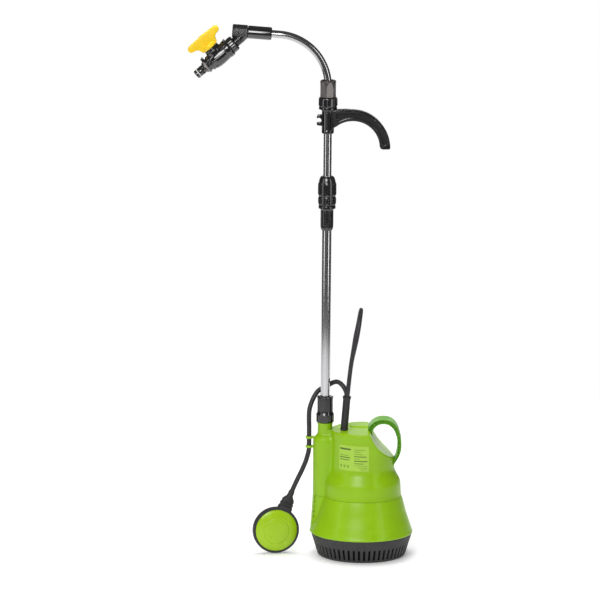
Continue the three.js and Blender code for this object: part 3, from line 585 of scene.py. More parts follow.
def upper_housing():
    z0 = 104.15
    base = [0, 0.1, 0.35, 0.8, 1.6] + list(np.arange(3.4, 54, 1.7))
    F = 2.4
    verts, faces, rows = [], [], []

    def edge(t):
        x = 55 * math.cos(t)
        return ztop(x, 55 * math.sin(t) * 0.9)
    for dz in base:
        row = []
        for t in TH:
            z = z0 + dz
            r = shell_r(t, z, UPP) - (0.55 * (1 - dz / 0.5) if dz < 0.5 else 0)
            row.append(len(verts)); verts.append((r * math.cos(t), r * math.sin(t), z))
        rows.append(row)
    zb = z0 + base[-1]
    M = 46
    for i in range(1, M + 1):
        row = []
        for t in TH:
            z = zb + (edge(t) - F - zb) * i / M
            r = shell_r(t, z, UPP)
            row.append(len(verts)); verts.append((r * math.cos(t), r * math.sin(t), z))
        rows.append(row)
    rim = [shell_r(t, edge(t) - F, UPP) for t in TH]
    for k in range(1, 7):
        a = k / 6 * math.pi / 2
        row = []
        for j, t in enumerate(TH):
            r = rim[j] - F * (1 - math.cos(a))
            x, y = r * math.cos(t), r * math.sin(t)
            z = ztop(x, y) - F * (1 - math.sin(a))
            row.append(len(verts)); verts.append((x, y, z))
        rows.append(row)
    steps = 44
    for k in range(1, steps):
        row = []
        f = 1 - k / steps
        for j, t in enumerate(TH):
            r = (rim[j] - F) * f
            x, y = r * math.cos(t), r * math.sin(t)
            row.append(len(verts)); verts.append((x, y, ztop(x, y)))
        rows.append(row)
    c1 = len(verts); verts.append((0, 0, ztop(0, 0)))
    n = len(TH)
    for a, b in zip(rows, rows[1:]):
        for k in range(n):
            faces.append((a[k], a[(k + 1) % n], b[(k + 1) % n], b[k]))
    for k in range(n):
        faces.append((rows[-1][k], rows[-1][(k + 1) % n], c1))
    # inside of the wall, a plain offset of the outside
    inner = []
    for f in (0, 12, 26, 33, 38, 44, 53):
        row = []
        for t in TH:
            r = shell_r(t, z0 + f, UPP) - 2.8
            row.append(len(verts)); verts.append((r * math.cos(t), r * math.sin(t), z0 + f))
        inner.append(row)
    for i in range(1, 5):
        row = []
        for t in TH:
            z = zb + (edge(t) - 3.0 - zb) * i / 4
            r = min(shell_r(t, z, UPP) - 2.8, 52.2)
            row.append(len(verts)); verts.append((r * math.cos(t), r * math.sin(t), z))
        inner.append(row)
    for k in range(1, 16):
        row = []
        for t in TH:
            r = 52.2 * (1 - k / 16)
            x, y = r * math.cos(t), r * math.sin(t)
            row.append(len(verts)); verts.append((x, y, ztop(x, y) - 3.0))
        inner.append(row)
    c2 = len(verts); verts.append((0, 0, ztop(0, 0) - 3.0))
    for a, b in zip(inner, inner[1:]):
        for k in range(n):
            faces.append((a[k], b[k], b[(k + 1) % n], a[(k + 1) % n]))
    for k in range(n):
        faces.append((inner[-1][k], c2, inner[-1][(k + 1) % n]))
        faces.append((rows[0][k], inner[0][k], inner[0][(k + 1) % n], rows[0][(k + 1) % n]))
    return build("upper_shell", verts, faces, GREEN, 38, None, "pump")


ls = lower_housing()
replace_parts(ls, "lower_housing")
us = upper_housing()
# neck and spigot over the column
neck = lathe("column_neck", [(0, 205), (12.0, 205), (12.65, 212), (12.65, 226.5), (13.1, 227.2), (13.1, 229.6), (10, 229.7), (10, 243), (7.6, 243), (7.6, 220), (0, 220)], GREEN, 64, r=0.6)
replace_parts(us, "upper_housing")
# thin dark parting line between the housings
lathe("housing_gasket", [(63.0, 103.4), (66.75, 103.4), (66.75, 104.6), (63.0, 104.6)], RUBBER, 120, (0, 0), closed=True, r=0.2)
# vents in the column's left face: small dark discs, painted shade for the openings
for i, z in enumerate((67.5, 76, 84.5, 93, 100)):
    tv = rad(188)
    zx = shell_r(tv, z, LOW)
    o = lathe("column_vent_%d" % i, [(0, -0.4), (1.7, -0.4), (1.9, 0.1), (1.5, 0.45), (0.9, 0.2), (0, 0.1)], VENT_SHADE, 20, (0, 0), frame_m((math.sin(tv), -math.cos(tv), 0), (0, 0, 1), (math.cos(tv), math.sin(tv), 0), (zx * math.cos(tv), zx * math.sin(tv), z)) @ np.diag([1.5, 0.75, 1, 1]), r=0.15)


# ------------------------------------------------------------------ carry handle: channel section with cross ribs
def handle():
    O = [(9.4, 214.0), (10.3, 222.0), (13.3, 227.8), (18, 232.6), (24, 236), (30, 237.6), (36.5, 238), (43, 237.3), (50, 234.6), (56, 229.5), (60.5, 222), (63.5, 213), (65.9, 203), (66.6, 192), (65.6, 183), (63.2, 175.5), (59.2, 167.5), (54.0, 160), (50.5, 155)]
    I = [(17.0, 209.0), (17.0, 217.5), (20.0, 222.4), (24.5, 227), (30, 229.6), (36.5, 230.2), (43.5, 229), (49.5, 225), (54.3, 219), (57.5, 211), (59.4, 203), (59.8, 190), (58.8, 181), (57.3, 174), (54.2, 167.5), (50.5, 162), (47.5, 159)]
    O = catmull([(x, 0, z) for x, z in O], 1.6)
    I = catmull([(x, 0, z) for x, z in I], 1.6)
    n = 90
    def res(P):
        d = np.r_[0, np.cumsum(np.linalg.norm(np.diff(P, axis=0), axis=1))]
        s = np.linspace(0, d[-1], n)
        return np.stack([np.interp(s, d, P[:, k]) for k in (0, 2)], 1)
    O, I = res(O), res(I)
    H = 17.0
    sec = []                                             # (along thickness 0 outer .. 1 inner in mm from that side, Y)
    fl, web, c = 1.4, 13.0, 0.5
    def section(o, i):
        T = np.linalg.norm(i - o)
        d = (i - o) / T
        pts = [(c, -H), (fl - 0.3, -H), (fl, -H + 0.4), (fl, -web - 0.5), (fl + 0.5, -web), (T - fl - 0.5, -web), (T - fl, -web - 0.5), (T - fl, -H + 0.4), (T - fl + 0.3, -H), (T - c, -H), (T, -H + c),
               (T, 0), (T, H - c), (T - c, H), (T - fl + 0.3, H), (T - fl, H - 0.4), (T - fl, web + 0.5), (T - fl - 0.5, web), (fl + 0.5, web), (fl, web + 0.5), (fl, H - 0.4), (fl - 0.3, H), (c, H), (0, H - c), (0, 0), (0, -H + c)]
        return [(o[0] + d[0] * a, y, o[1] + d[1] * a) for a, y in pts]
    verts, faces = [], []
    K = 26
    for j in range(n):
        verts += section(O[j], I[j])
    for j in range(n - 1):
        for k in range(K):
            k2 = (k + 1) % K
            faces.append((j * K + k, j * K + k2, (j + 1) * K + k2, (j + 1) * K + k))
    faces.append(tuple(range(K))[::-1])
    faces.append(tuple((n - 1) * K + k for k in range(K)))
    o = build("handle_grip", verts, faces, GREEN_DK, 34, None, "pump")
    ribs = []
    for q, j in enumerate((13, 27, 40, 51, 62, 73)):
        a, b = O[j], I[j]
        d = (b - a) / np.linalg.norm(b - a)
        L = np.linalg.norm(b - a)
        t = np.array([-d[1], d[0]])
        for sgn in (-1, 1):
            v = []
            for y in (sgn * 12.8, sgn * 16.8):
                for (s, w) in ((1.4, -0.65), (L - 1.4, -0.65), (L - 1.4, 0.65), (1.4, 0.65)):
                    p = a + d * s + t * w
                    v.append((p[0], y, p[1]))
            f = [(0, 1, 2, 3), (7, 6, 5, 4), (0, 4, 5, 1), (1, 5, 6, 2), (2, 6, 7, 3), (3, 7, 4, 0)]
            r = build("handle_rib_%d_%s" % (q, "f" if sgn < 0 else "b"), v, f, GREEN_DK, 30, None, "pump")
            bevelled(r, 0.25, 2)
            ribs.append(r)
    return o


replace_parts(handle(), "carry_handle")


# ------------------------------------------------------------------ rating label, blank film with plain bars
def patch(name, a0, a1, z0, z1, r, th, mat, tilt=0.0, corner=1.0):
    """a thin curved plate on the housing's front, with rounded corners; a in degrees from -Y, positive to +X"""
    nu, nv = max(3, int(abs(a1 - a0) / 1.2) + 2), 6
    verts, faces = [], []
    us, vs = np.linspace(0, 1, nu), np.linspace(0, 1, nv)
    w = (a1 - a0) * math.pi / 180 * r
    h = z1 - z0
    for layer in (0, 1):
        for v in vs:
            for u in us:
                x, y = u * w, v * h
                c = min(corner, w / 2, h / 2)
                # pull the corners in
                cx, cy = min(max(x, c), w - c), min(max(y, c), h - c)
                dx, dy = x - cx, y - cy
                L = math.hypot(dx, dy)
                if L > 1e-9 and abs(dx) > 1e-9 and abs(dy) > 1e-9:
                    s = c / L * max(abs(dx), abs(dy)) / c
                    dx, dy = dx * s, dy * s
                x, y = cx + dx, cy + dy
                a = a0 * math.pi / 180 + x / r
                rr = r + (th if layer else 0)
                zz = z0 + y + tilt * (x - w / 2)
                verts.append((rr * math.sin(a), -rr * math.cos(a), zz))
    n = nu * nv
    for j in range(nv - 1):
        for i in range(nu - 1):
            q = j * nu + i
            faces.append((q, q + nu, q + nu + 1, q + 1))
            faces.append((n + q, n + q + 1, n + q + nu + 1, n + q + nu))
    for i in range(nu - 1):
        faces.append((i, i + 1, n + i + 1, n + i))
        q = (nv - 1) * nu + i
        faces.append((q, n + q, n + q + 1, q + 1))
    for j in range(nv - 1):
        q = j * nu
        faces.append((q, n + q, n + q + nu, q + nu))
        q = j * nu + nu - 1
        faces.append((q, q + nu, n + q + nu, n + q))
    return build(name, verts, faces, mat, 50, None, "pump")


lab = patch("label_plate", -45.5, 11.5, 156, 199.6, 55.04, 0.35, LABEL, -0.02, 2.0)
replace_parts(lab, "rating_label")
R1 = 55.42
bars = [(-43, -21, 191.6, 194.4, INK), (-43, -25, 181.4, 182.5, INK2), (-43, -22, 177.6, 179.2, INK), (-43, -23.5, 173.8, 175.2, INK),
        (-42, -38.5, 161, 165.5, INK2), (-35, -31.5, 161, 165.5, INK2), (-28, -24.5, 161, 165.5, INK2),
        (-15, 4, 192.2, 193.4, INK2), (-15, -3, 188.8, 190.0, INK2), (-15, 1, 184.6, 185.8, INK2), (-15, 7, 180.6, 182.0, INK), (-15, -5, 176.8, 178.0, INK2),
        (-15, 9, 172.6, 174.2, INK), (-15, 2, 168.6, 169.8, INK), (-15, 9, 164.9, 165.8, INK2), (-8, 9, 161.6, 162.5, INK2), (-3, 9, 158.6, 159.4, INK2)]
for i, (a, b, z0_, z1_, mt) in enumerate(bars):
    patch("label_bar_%02d" % i, a, b, z0_ - 0.02 * (a + 17), z1_ - 0.02 * (a + 17), R1, 0.05, mt, -0.02, 0.2)


# ------------------------------------------------------------------ gland, clip
GA, GB = np.array([-31.4, -9, 218.6]), np.array([-27, -9, 277.0])
gd = (GB - GA); gl = np.linalg.norm(gd); gd /= gl
GM = frame_m((gd[2], 0, -gd[0]), (0, 1, 0), gd, GA)
GM[:3, 1] *= 1.46
g = lathe("cord_gland_boot", [(0, 0), (6.7, 0), (6.7, 1.2), (6.35, 2.0), (6.3, gl - 5.4), (6.4, gl - 4.8), (7.0, gl - 4.2), (7.1, gl - 0.8), (6.4, gl), (0, gl - 0.2)], RUBBER, 48, (0, 0), GM, r=0.6)
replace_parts(g, "cord_gland")


def clip_ring(name, z, M=None):
    """open ring round the float cable; its stalk to the column is a separate prism"""
    n, v, f = 26, [], []
    h = 1.9
    for k in range(n + 1):
        a = rad(12 + 336 * k / n)
        for (r, zz) in ((4.25, z - h + 0.3), (4.5, z - h), (5.7, z - h), (6.0, z - h + 0.4), (6.0, z + h - 0.4), (5.7, z + h), (4.5, z + h), (4.25, z + h - 0.3)):
            v.append((-91 + r * math.cos(a), r * math.sin(a), zz))
    for k in range(n):
        for q in range(8):
            f.append((k * 8 + q, k * 8 + (q + 1) % 8, (k + 1) * 8 + (q + 1) % 8, (k + 1) * 8 + q))
    f.append(tuple(range(8))[::-1]); f.append(tuple(n * 8 + q for q in range(8)))
    o = build(name, v, f, GREEN, 40, None, "pump")
    return o


c1 = clip_ring("clip_ring_low", 187)
c2 = clip_ring("clip_ring_high", 203)
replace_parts(c1, "float_cable_clip")
for i, z in enumerate((187, 203)):
    prism("clip_stalk_%d" % i, [(-85.6, z - 1.7), (-82.5, z - 3.0), (-82.5, z + 3.0), (-85.6, z + 1.7)], -2.6, 2.6, GREEN, XZ, "pump", 0.5)

# ------------------------------------------------------------------ riser
lathe_c = lathe("collar_body", [(8.2, 246.2), (10.2, 245), (10.2, 230.2), (14.4, 230.2), (15.3, 231.4), (15.3, 243.6), (14.4, 245.6), (13.7, 247), (13.35, 249), (13.3, 272.6), (12.9, 273.1), (12.9, 275), (8.2, 275)], BLACK, 96, closed=True, r=0.5,
                mod=lambda t, r, z: r - (0.45 * smooth(max(0, math.cos(12 * t)) ** 2) if r > 12.5 and 231.5 < z < 243.4 else 0), dens=2.5)
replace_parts(lathe_c, "discharge_collar")
for i in range(8):
    a = rad(45 * i + 22.5)
    ca, sa = math.cos(a), math.sin(a)
    o = prism("collar_tooth_%d" % i, [(-3.1, 271.8), (3.1, 271.8), (3.1, 274.6), (-3.1, 274.6)], 10.2, 13.45, BLACK, frame_m((-sa, ca, 0), (0, 0, 1), (ca, sa, 0), (RX, 0, 0)), "pump", 0.4)
t1 = lathe("riser_tube_low", [(7.25, 246), (7.95, 246), (7.95, 590), (7.25, 590)], TUBE, 64, closed=True, r=0.15)
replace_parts(t1, "lower_tube")
t2 = lathe("riser_tube_high", [(6.2, 340), (7.0, 340), (7.0, 780), (6.2, 780)], TUBE, 64, body="riser", closed=True, r=0.15)
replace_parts(t2, "upper_tube")
flute = lambda t: max(0.0, math.cos(10 * t)) ** 1.5
sl = lathe("clamp_sleeve_body", [(8.15, 562.6), (8.7, 562.6), (9.9, 564.4), (10.9, 568.4), (11.1, 572), (11.1, 598.5), (11.7, 600.2), (14.3, 600.8), (14.6, 601.6), (14.6, 605.2), (14.2, 606.2), (11.4, 606.3), (11.4, 630), (9.3, 630), (9.3, 591), (8.15, 590)], BLACK, 160, closed=True, r=0.5,
           mod=lambda t, r, z: r - (0.75 * flute(t) * smooth(min(1, max(0, (z - 566) / 4))) * smooth(min(1, max(0, (599 - z) / 2))) if r > 9.5 else 0), dens=2.0)
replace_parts(sl, "clamp_sleeve")
nutrib = lambda t: smooth(min(1.0, max(0.0, (math.cos(8 * t) - 0.35) * 3)))
cn = lathe("clamp_nut_body", [(11.9, 606.8), (13.9, 606.8), (14.7, 608), (14.9, 620.4), (14.3, 621.3), (14.3, 622.7), (14.9, 623.6), (14.8, 644), (13.6, 650.5), (12.0, 654.4), (10.4, 656), (7.5, 656), (7.5, 638), (11.9, 633.5)], BLACK, 192, body="clamp", closed=True, r=0.6,
           mod=lambda t, r, z: r + ((0.8 * nutrib(t) * smooth(min(1, max(0, (z - 624) / 1.5))) * smooth(min(1, max(0, (645.5 - z) / 3))) + 0.55 * nutrib(t) * smooth(min(1, max(0, (z - 609) / 1.5))) * smooth(min(1, max(0, (619.6 - z) / 1.5)))) if r > 13.2 else 0), dens=1.6)
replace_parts(cn, "clamp_nut")

# hook -------------------------------------------------------------
HX, HZ = RX + 42.5, 707.0


def arc(r, a0, a1, n):
    return [(HX + r * math.cos(rad(a0 + (a1 - a0) * i / n)), HZ + r * math.sin(rad(a0 + (a1 - a0) * i / n))) for i in range(n + 1)]


def hook():
    outline = [(RX + 6, 770.6), (RX + 16, 771.0), (RX + 30, 771.4)] + arc(63.6, 88, 0.5, 46) + [(HX + 63.2, 705.6), (HX + 61.8, 704.4), (HX + 51.5, 704.2), (HX + 48.6, 704.8), (HX + 46.6, 706.6)] + arc(45.6, 3, 128, 46) + [(HX - 32.4, 740.6), (RX + 6.2, 735)]
    o = prism("hook_arm", outline, -10, 10, BLACK2, XZ, "riser", 1.9, 4)
    web = [(RX + 14, 765.6), (RX + 30, 766.2)] + arc(59.2, 88, 7, 40) + [(HX + 55.6, 711.0), (HX + 53.2, 711.0)] + arc(49.9, 9, 118, 40) + [(RX + 17.5, 754.5), (RX + 14, 752.5)]
    cuts = [prism("cut", web, 3.2, 14, BLACK2, XZ, None, 0), prism("cut", web, -14, -3.2, BLACK2, XZ, None, 0)]
    boolean(o, cuts)
    bevelled(o, 0.7, 3, 40)
    return o


hk = hook()
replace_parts(hk, "hook_fitting")
lathe("hook_collar", [(7.25, 729.6), (9.4, 729.6), (10.3, 730.8), (10.5, 733), (10.5, 768.5), (10.9, 769.2), (10.9, 770.7), (7.25, 770.7)], BLACK2, 160, body="riser", closed=True, r=0.5,
      mod=lambda t, r, z: r - (0.7 * smooth(min(1.0, max(0.0, (math.cos(8 * (t + 0.2)) - 0.1) * 1.8))) * smooth(min(1, max(0, (z - 734) / 2))) * smooth(min(1, max(0, (767 - z) / 2))) if r > 9.9 else 0), dens=1.5)
# cable clip on the hook's collar
def cclip():
    cx, cz = RX - 15.6, 753.0
    inn = [(cx + 4.6 * math.cos(rad(a)), cz + 4.6 * math.sin(rad(a))) for a in np.linspace(-128, 128, 28)]
    left = RX - 18.6
    outline = [(RX - 8.6, 762.4), (left + 1.2, 761.4), (left, 760.2), (left - 0.3, 757.6), (left + 0.2, 756.4)] + inn[::-1] + [(left + 0.2, 749.6), (left - 0.3, 748.4), (left, 745.8), (left + 1.2, 744.6), (RX - 8.6, 743.6)]
    return prism("hook_cable_clip", outline, -8, 8, BLACK2, XZ, "riser", 0.4)
cclip()

# quick connector ---------------------------------------------------
cb = lathe("connector_barrel", [(7.3, 771.1), (14.9, 771.1), (15.7, 771.9), (15.7, 774.9), (15.0, 775.7), (13.4, 776), (13.4, 791.6), (9.6, 791.6), (9.6, 781), (7.3, 780.5)], BLACK2, 96, body="riser", closed=True, r=0.5)
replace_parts(cb, "connector_body")
lr = lathe("lock_ring_body", [(13.75, 776.3), (15.2, 776.3), (15.6, 777.2), (15.5, 790.6), (15.0, 791.6), (13.75, 791.6)], BLACK2, 288, body="connector_lock", closed=True, r=0.4,
           mod=lambda t, r, z: r + (0.6 * smooth(min(1.0, max(0.0, (math.cos(8 * (t - 0.13)) + 0.45) * 1.5))) * smooth(min(1, max(0, (z - 777.2) / 1.2))) * smooth(min(1, max(0, (790.6 - z) / 1.2))) if r > 14.6 else 0), dens=0.8)
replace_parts(lr, "lock_ring")


def lozenge(t, r, z):
    """six flats round the grip, each fading out towards both ends"""
    if r < 12.4 or not 792.8 < z < 820.6:
        return r
    d = (t - math.pi / 4 + math.pi / 6) % (math.pi / 3) - math.pi / 6
    ap = 11.9 + 1.6 * max(0.0, (z - 806.6) / 12.6) ** 4 + 0.7 * max(0.0, (806.6 - z) / 13.8) ** 4
    return min(r, ap / math.cos(d))


gn = lathe("grip_body", [(6.8, 782), (9.2, 782), (9.2, 792.2), (12.6, 792.2), (13.5, 793.2), (13.6, 818.8), (13.0, 820.4), (12.0, 821), (10.6, 821), (9.8, 819.4), (9.4, 815), (6.8, 813)], GRIPD, 192, body="gooseneck", closed=True, r=0.5, mod=lozenge, dens=0.6)
gn.data.materials.append(GRIPG)
gn.data.materials.append(GRIP_SHADED)
# lozenge flats alternate between the grip grey and its darker copy with painted shade
for f in gn.data.polygons:
    c = f.center / MM
    d = math.atan2(c.y, c.x - RX)
    dd = (d - math.pi / 4 + math.pi / 6) % (math.pi / 3) - math.pi / 6
    if math.hypot(c.x - RX, c.y) > 11.8 and 793.2 < c.z < 820 and abs(math.degrees(dd)) < 26.5 * max(0.0, 1 - max(0.0, (c.z - 803) / 15.6) ** 2.6) ** 0.5:
        f.material_index = 1 + round((d - math.pi / 4) / (math.pi / 3)) % 2
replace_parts(gn, "grip_nut")

# gooseneck ----------------------------------------------------------
GS, GZ, GR = rad(86), 810.0, 89.0
SE = np.array([RX - GR + GR * math.cos(GS), 0, GZ + GR * math.sin(GS)])
OD = np.array([-math.sin(GS), 0, math.cos(GS)])
pts = [(RX, 0, 793), (RX, 0, 799), (RX, 0, 804), (RX, 0, GZ - 1)] + [(RX - GR + GR * math.cos(GS * i / 30), 0, GZ + GR * math.sin(GS * i / 30)) for i in range(1, 31)] + [tuple(SE + OD * 12), tuple(SE + OD * 25)]
gt = tube("gooseneck_pipe", catmull(pts, 2.2), 6.4, TUBE2, 40, "gooseneck", 5.4, 0.3)
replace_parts(gt, "gooseneck_tube")
EM = frame_m((OD[2], 0, -OD[0]), (0, 1, 0), OD, SE)     # local X up, Z along the elbow
F = np.array([-0.7536, 0, -0.6573]); F /= np.linalg.norm(F)
S = np.array([-0.6573, 0, 0.7536]); S /= np.linalg.norm(S)
JX = RX - 137.4
J = np.array([JX, 0, SE[2] + ((SE[0] - JX) * OD[2]) / -OD[0]])
VM = frame_m(S, (0, 1, 0), F, J)                        # local X along the stem, Z along the flow
E1, E2 = 54.0, 80.3
eb = lathe("elbow_barrel", [(6.75, 26), (6.75, 13.2), (9.6, 13.2), (10.6, 13.9), (11.0, 15.2), (11.0, 52.6), (10.4, 53.9), (5.4, 53.9), (5.4, 26)], BLACK2, 80, (0, 0), EM, "gooseneck", closed=True, r=0.6)
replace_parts(eb, "elbow_body")
thread = lambda t, r, z: r + (0.75 * max(-0.2, math.sin(2 * math.pi * (z / 2.9 - t / (2 * math.pi)))) if 12.5 < z < 26 and r > 8 else 0)
lathe("elbow_branch", [(0, -5), (8.3, -5), (8.7, 4), (8.7, 12), (8.8, 26.4), (8.4, 37.4), (5.4, 37.4), (5.4, 2), (0, 2)], BLACK2, 96, (0, 0), VM, "gooseneck", r=0.4, mod=thread, dens=0.5)


def knurl(t, r, z):
    if r < 10.4 or not E1 + 1.2 < z < E2 - 1.2:
        return r
    a = 11.2 * t / 1.75
    return r + 0.42 * max(-0.4, math.sin(math.pi * (a + z / 1.75))) * max(-0.4, math.sin(math.pi * (a - z / 1.75))) + 0.2 * math.cos(6 * t)


kc = lathe("knurled_cap_body", [(0, E1 + 0.3), (10.6, E1 + 0.3), (11.2, E1 + 0.9), (11.2, E2 - 1.2), (10.3, E2 - 0.2), (8.4, E2), (7.8, E2 - 0.5), (0, E2 - 0.5)], BLACK, 220, (0, 0), EM, "gooseneck", r=0.4, mod=knurl, dens=0.55)
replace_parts(kc, "knurled_end_cap")

# ball valve ---------------------------------------------------------
un = lathe("union_nut_body", [(8.95, 26.8), (11.6, 26.8), (12.7, 27.8), (13.7, 29.4), (13.8, 36.8), (13.2, 37.8), (8.95, 37.8)], BLACK2, 144, (0, 0), VM, "gooseneck", closed=True, r=0.5,
           mod=lambda t, r, z: r - (0.6 * smooth(min(1, max(0, (math.cos(12 * t) - 0.3) * 2.2))) if r > 12.6 and 29 < z < 37.4 else 0), dens=0.8)
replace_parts(un, "valve_union_nut")
vb = lathe("valve_barrel", [(5.5, 38.1), (13.9, 38.1), (15.3, 39.2), (15.9, 41), (15.9, 47), (15.2, 48.2), (15.6, 56), (16, 62), (15.9, 70), (14.6, 77.5), (13.6, 79), (13.6, 82.8), (12.4, 84.2), (11.2, 85), (11.2, 89.2), (10.6, 89.8), (5.5, 89.8), (5.5, 72.6), (7.2, 71.1), (8.6, 69.2), (9.5, 66.8), (9.8, 64.4), (9.5, 62.0), (8.6, 59.6), (7.2, 57.7), (5.5, 56.2)], BLACK2, 96, (0, 0), VM, "gooseneck", closed=True, r=0.4)
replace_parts(vb, "valve_body")
LP = J + F * 64.4
SM = frame_m((0, 1, 0), F, S, LP)                       # local Z along the stem
lathe("valve_bonnet", [(0, 4), (14.0, 4), (14.2, 14.4), (13.4, 15.6), (13.4, 18.8), (12.6, 19.8), (4.0, 19.8), (4.0, 12), (0, 12)], BLACK2, 80, (0, 0), SM, "gooseneck", r=0.5)
boolean(vb, [lathe("cut", [(0, 5), (3.5, 5), (3.5, 19), (0, 19)], BLACK2, 32, (0, 0), SM, None, r=0)])
LM = frame_m(F, S, np.cross(F, S), LP)                  # outline in (flow, stem)
for i, (a0, a1) in enumerate(((-26.5, -21.2), (21.2, 26.4))):
    prism("valve_lug_%d" % i, [(a0, 8), (a1, 8), (a1, 16.6), (a0 + 1, 17.2)], -7.2, 7.2, BLACK2, LM, "gooseneck", 0.8, 3)
# moulded bars on the valve's flanks
for k, sy in enumerate((-1, 1)):
    prism("valve_rib_%d" % k, [(-15.5, -1.4), (17.5, -1.4), (20, 0), (17.5, 1.4), (-15.5, 1.4)], 14.2 * sy if sy > 0 else -16.9, 16.9 if sy > 0 else -14.2, BLACK2, frame_m(F, S, (0, -1, 0), LP), "gooseneck", 0.5)


def lever():
    w = 32.5
    pts = [(-15, 20.6), (15, 20.6), (16.2, 25.5), (18.6, 30.0), (22.6, 32.8), (27.0, 33.2), (30.4, 34.2), (32.2, 36.8), (32.6, 40), (31.4, 43), (28.4, 44.8), (23, 45.2), (0, 45.6), (-23, 45.2), (-28.4, 44.8), (-31.4, 43), (-32.6, 40), (-32.2, 36.8), (-30.4, 34.2), (-27.0, 33.2), (-22.6, 32.8), (-18.6, 30.0), (-16.2, 25.5)]
    P = [(p[0], p[1]) for p in rounded(pts, 1.6, 3, True)]
    o = prism("lever_grip", P, -6.5, 6.5, YELLOW, LM, "lever", 1.5, 4)
    return o


lv = lever()
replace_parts(lv, "valve_lever")
lathe("lever_hub", [(3.6, 20.3), (12.0, 20.3), (12.6, 21.2), (12.4, 25.5), (11.2, 28), (3.6, 28)], YELLOW, 64, (0, 0), SM, "lever", closed=True, r=0.5)
lathe("lever_cap", [(0, 44.6), (5.2, 44.6), (5.2, 45.8), (4.4, 46.4), (0, 46.5)], YELLOW, 40, (0, 0), SM, "lever", r=0.4)
nz = lathe("hose_nipple", [(5, 90.2), (9.2, 90.2), (9.8, 90.9), (9.8, 94.2), (8.8, 95.3), (7.6, 95.8), (7.6, 98.7), (6.35, 98.9), (6.35, 101), (7.6, 101.2), (7.6, 106.4), (6.35, 106.6), (6.35, 108.9), (7.6, 109.1), (7.6, 112.2), (6.7, 113.6), (5.5, 113.6), (5, 113.1)], BLACK2, 72, (0, 0), VM, "gooseneck", closed=True, r=0.25)
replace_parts(nz, "outlet_nipple")
lathe("nipple_root_ring", [(9.6, 88.4), (11.9, 88.4), (12.2, 89.0), (12.2, 91.2), (11.8, 91.8), (9.6, 91.8)], GRIPG, 72, (0, 0), VM, "gooseneck", closed=True, r=0.3)
for nm, z, mt in (("nipple_o_ring_1", 99.9, RUBBER), ("nipple_o_ring_2", 107.7, WHITE)):
    prof = [(7.1 + 0.95 * math.cos(a), z + 0.95 * math.sin(a)) for a in np.linspace(0, 2 * math.pi, 14, endpoint=False)]
    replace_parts(lathe(nm + "_seal", prof, mt, 56, (0, 0), VM, "gooseneck", closed=True, r=0), nm)

# ------------------------------------------------------------------ float switch
FT = rad(11)
FC = np.array([-146.5, 0, 40.3])
FN = np.array([math.sin(FT), -math.cos(FT), 0])
FS = np.array([math.cos(FT), math.sin(FT), 0])
FM = frame_m(FS, (0, 0, 1), FN, FC)
fr = lathe("float_band", [(35.8, -5.8), (38.4, -6.3), (39.6, -5.0), (40.0, -3.2), (40.0, -0.9), (39.5, -0.35), (39.5, 0.35), (40.0, 0.9), (40.0, 3.2), (39.6, 5.0), (38.4, 6.3), (35.8, 5.8)], RUBBER, 128, (0, 0), FM, "float", closed=True, r=0.5)
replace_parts(fr, "float_rim")
for nm, s in (("float_front", 1), ("float_back", -1)):
    prof = [(0, 11.9), (8, 11.85), (15, 11.5), (20.4, 10.9), (21.2, 10.5), (21.6, 10.0), (22.4, 9.95), (23.2, 10.2), (28, 9.2), (32.5, 7.7), (35.2, 6.2), (36.2, 4.9), (36.3, 0.3), (33.6, 0.3), (33.4, 3.6), (30, 5.6), (20, 8.4), (0, 9.2)]
    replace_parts(lathe(nm + "_cap", [(r, z * s) for r, z in prof], FLOATG, 128, (0, 0), FM, "float", r=0.5), nm)
# four shallow pads on the face, in place of any lettering
for i in range(4):
    a = rad(45 + 90 * i)
    lathe("float_pad_%d" % i, [(0, 0), (2.1, 0), (2.1, 0.35), (1.7, 0.6), (0, 0.65)], FLOATG, 28, (0, 0), FM @ np.array([[1, 0, 0, 14 * math.cos(a)], [0, 1, 0, 14 * math.sin(a)], [0, 0, 1, 11.35], [0, 0, 0, 1.0]]), "float", r=0.2)
BA = rad(22.4)
bd = np.array([math.sin(BA) * math.cos(FT), math.sin(BA) * math.sin(FT), math.cos(BA)])
bs = np.array([math.cos(BA) * math.cos(FT), math.cos(BA) * math.sin(FT), -math.sin(BA)])


def boot():
    """ribbed wedge from the disc's rim to the cable"""
    secs = [(35.5, 13.0, 6.2), (39, 12.8, 6.6), (42, 12.4, 7.2), (44, 12.2, 7.5), (44.6, 11.2, 6.6), (46.6, 11.0, 6.5), (47.2, 11.8, 7.4), (50, 11.4, 7.4), (50.6, 10.4, 6.5), (52.6, 10.0, 6.4), (53.2, 10.9, 7.3), (56.2, 10.2, 7.2), (58.5, 9.0, 6.8), (60.5, 7.4, 6.2), (62.4, 5.9, 5.6), (64.4, 5.3, 5.3), (68, 5.1, 5.1), (71.8, 5.0, 5.0), (72.8, 4.6, 4.6), (73.0, 3.8, 3.8)]
    K = 40
    v, f = [], []
    for (d, w, h) in secs:
        e = 2.0 + 1.6 * min(1, max(0, (62 - d) / 12))   # squarer near the disc, round at the cable
        for k in range(K):
            a = 2 * math.pi * k / K
            ca, sa = math.cos(a), math.sin(a)
            x = w * math.copysign(abs(ca) ** (2 / e), ca)
            y = h * math.copysign(abs(sa) ** (2 / e), sa)
            p = FC + bd * d + bs * x + FN * y
            v.append(tuple(p))
    for i in range(len(secs) - 1):
        for k in range(K):
            f.append((i * K + k, i * K + (k + 1) % K, (i + 1) * K + (k + 1) % K, (i + 1) * K + k))
    f.append(tuple(range(K))[::-1]); f.append(tuple((len(secs) - 1) * K + k for k in range(K)))
    o = build("float_boot_body", v, f, RUBBER, 42, None, "float")
    return o


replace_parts(boot(), "float_boot")

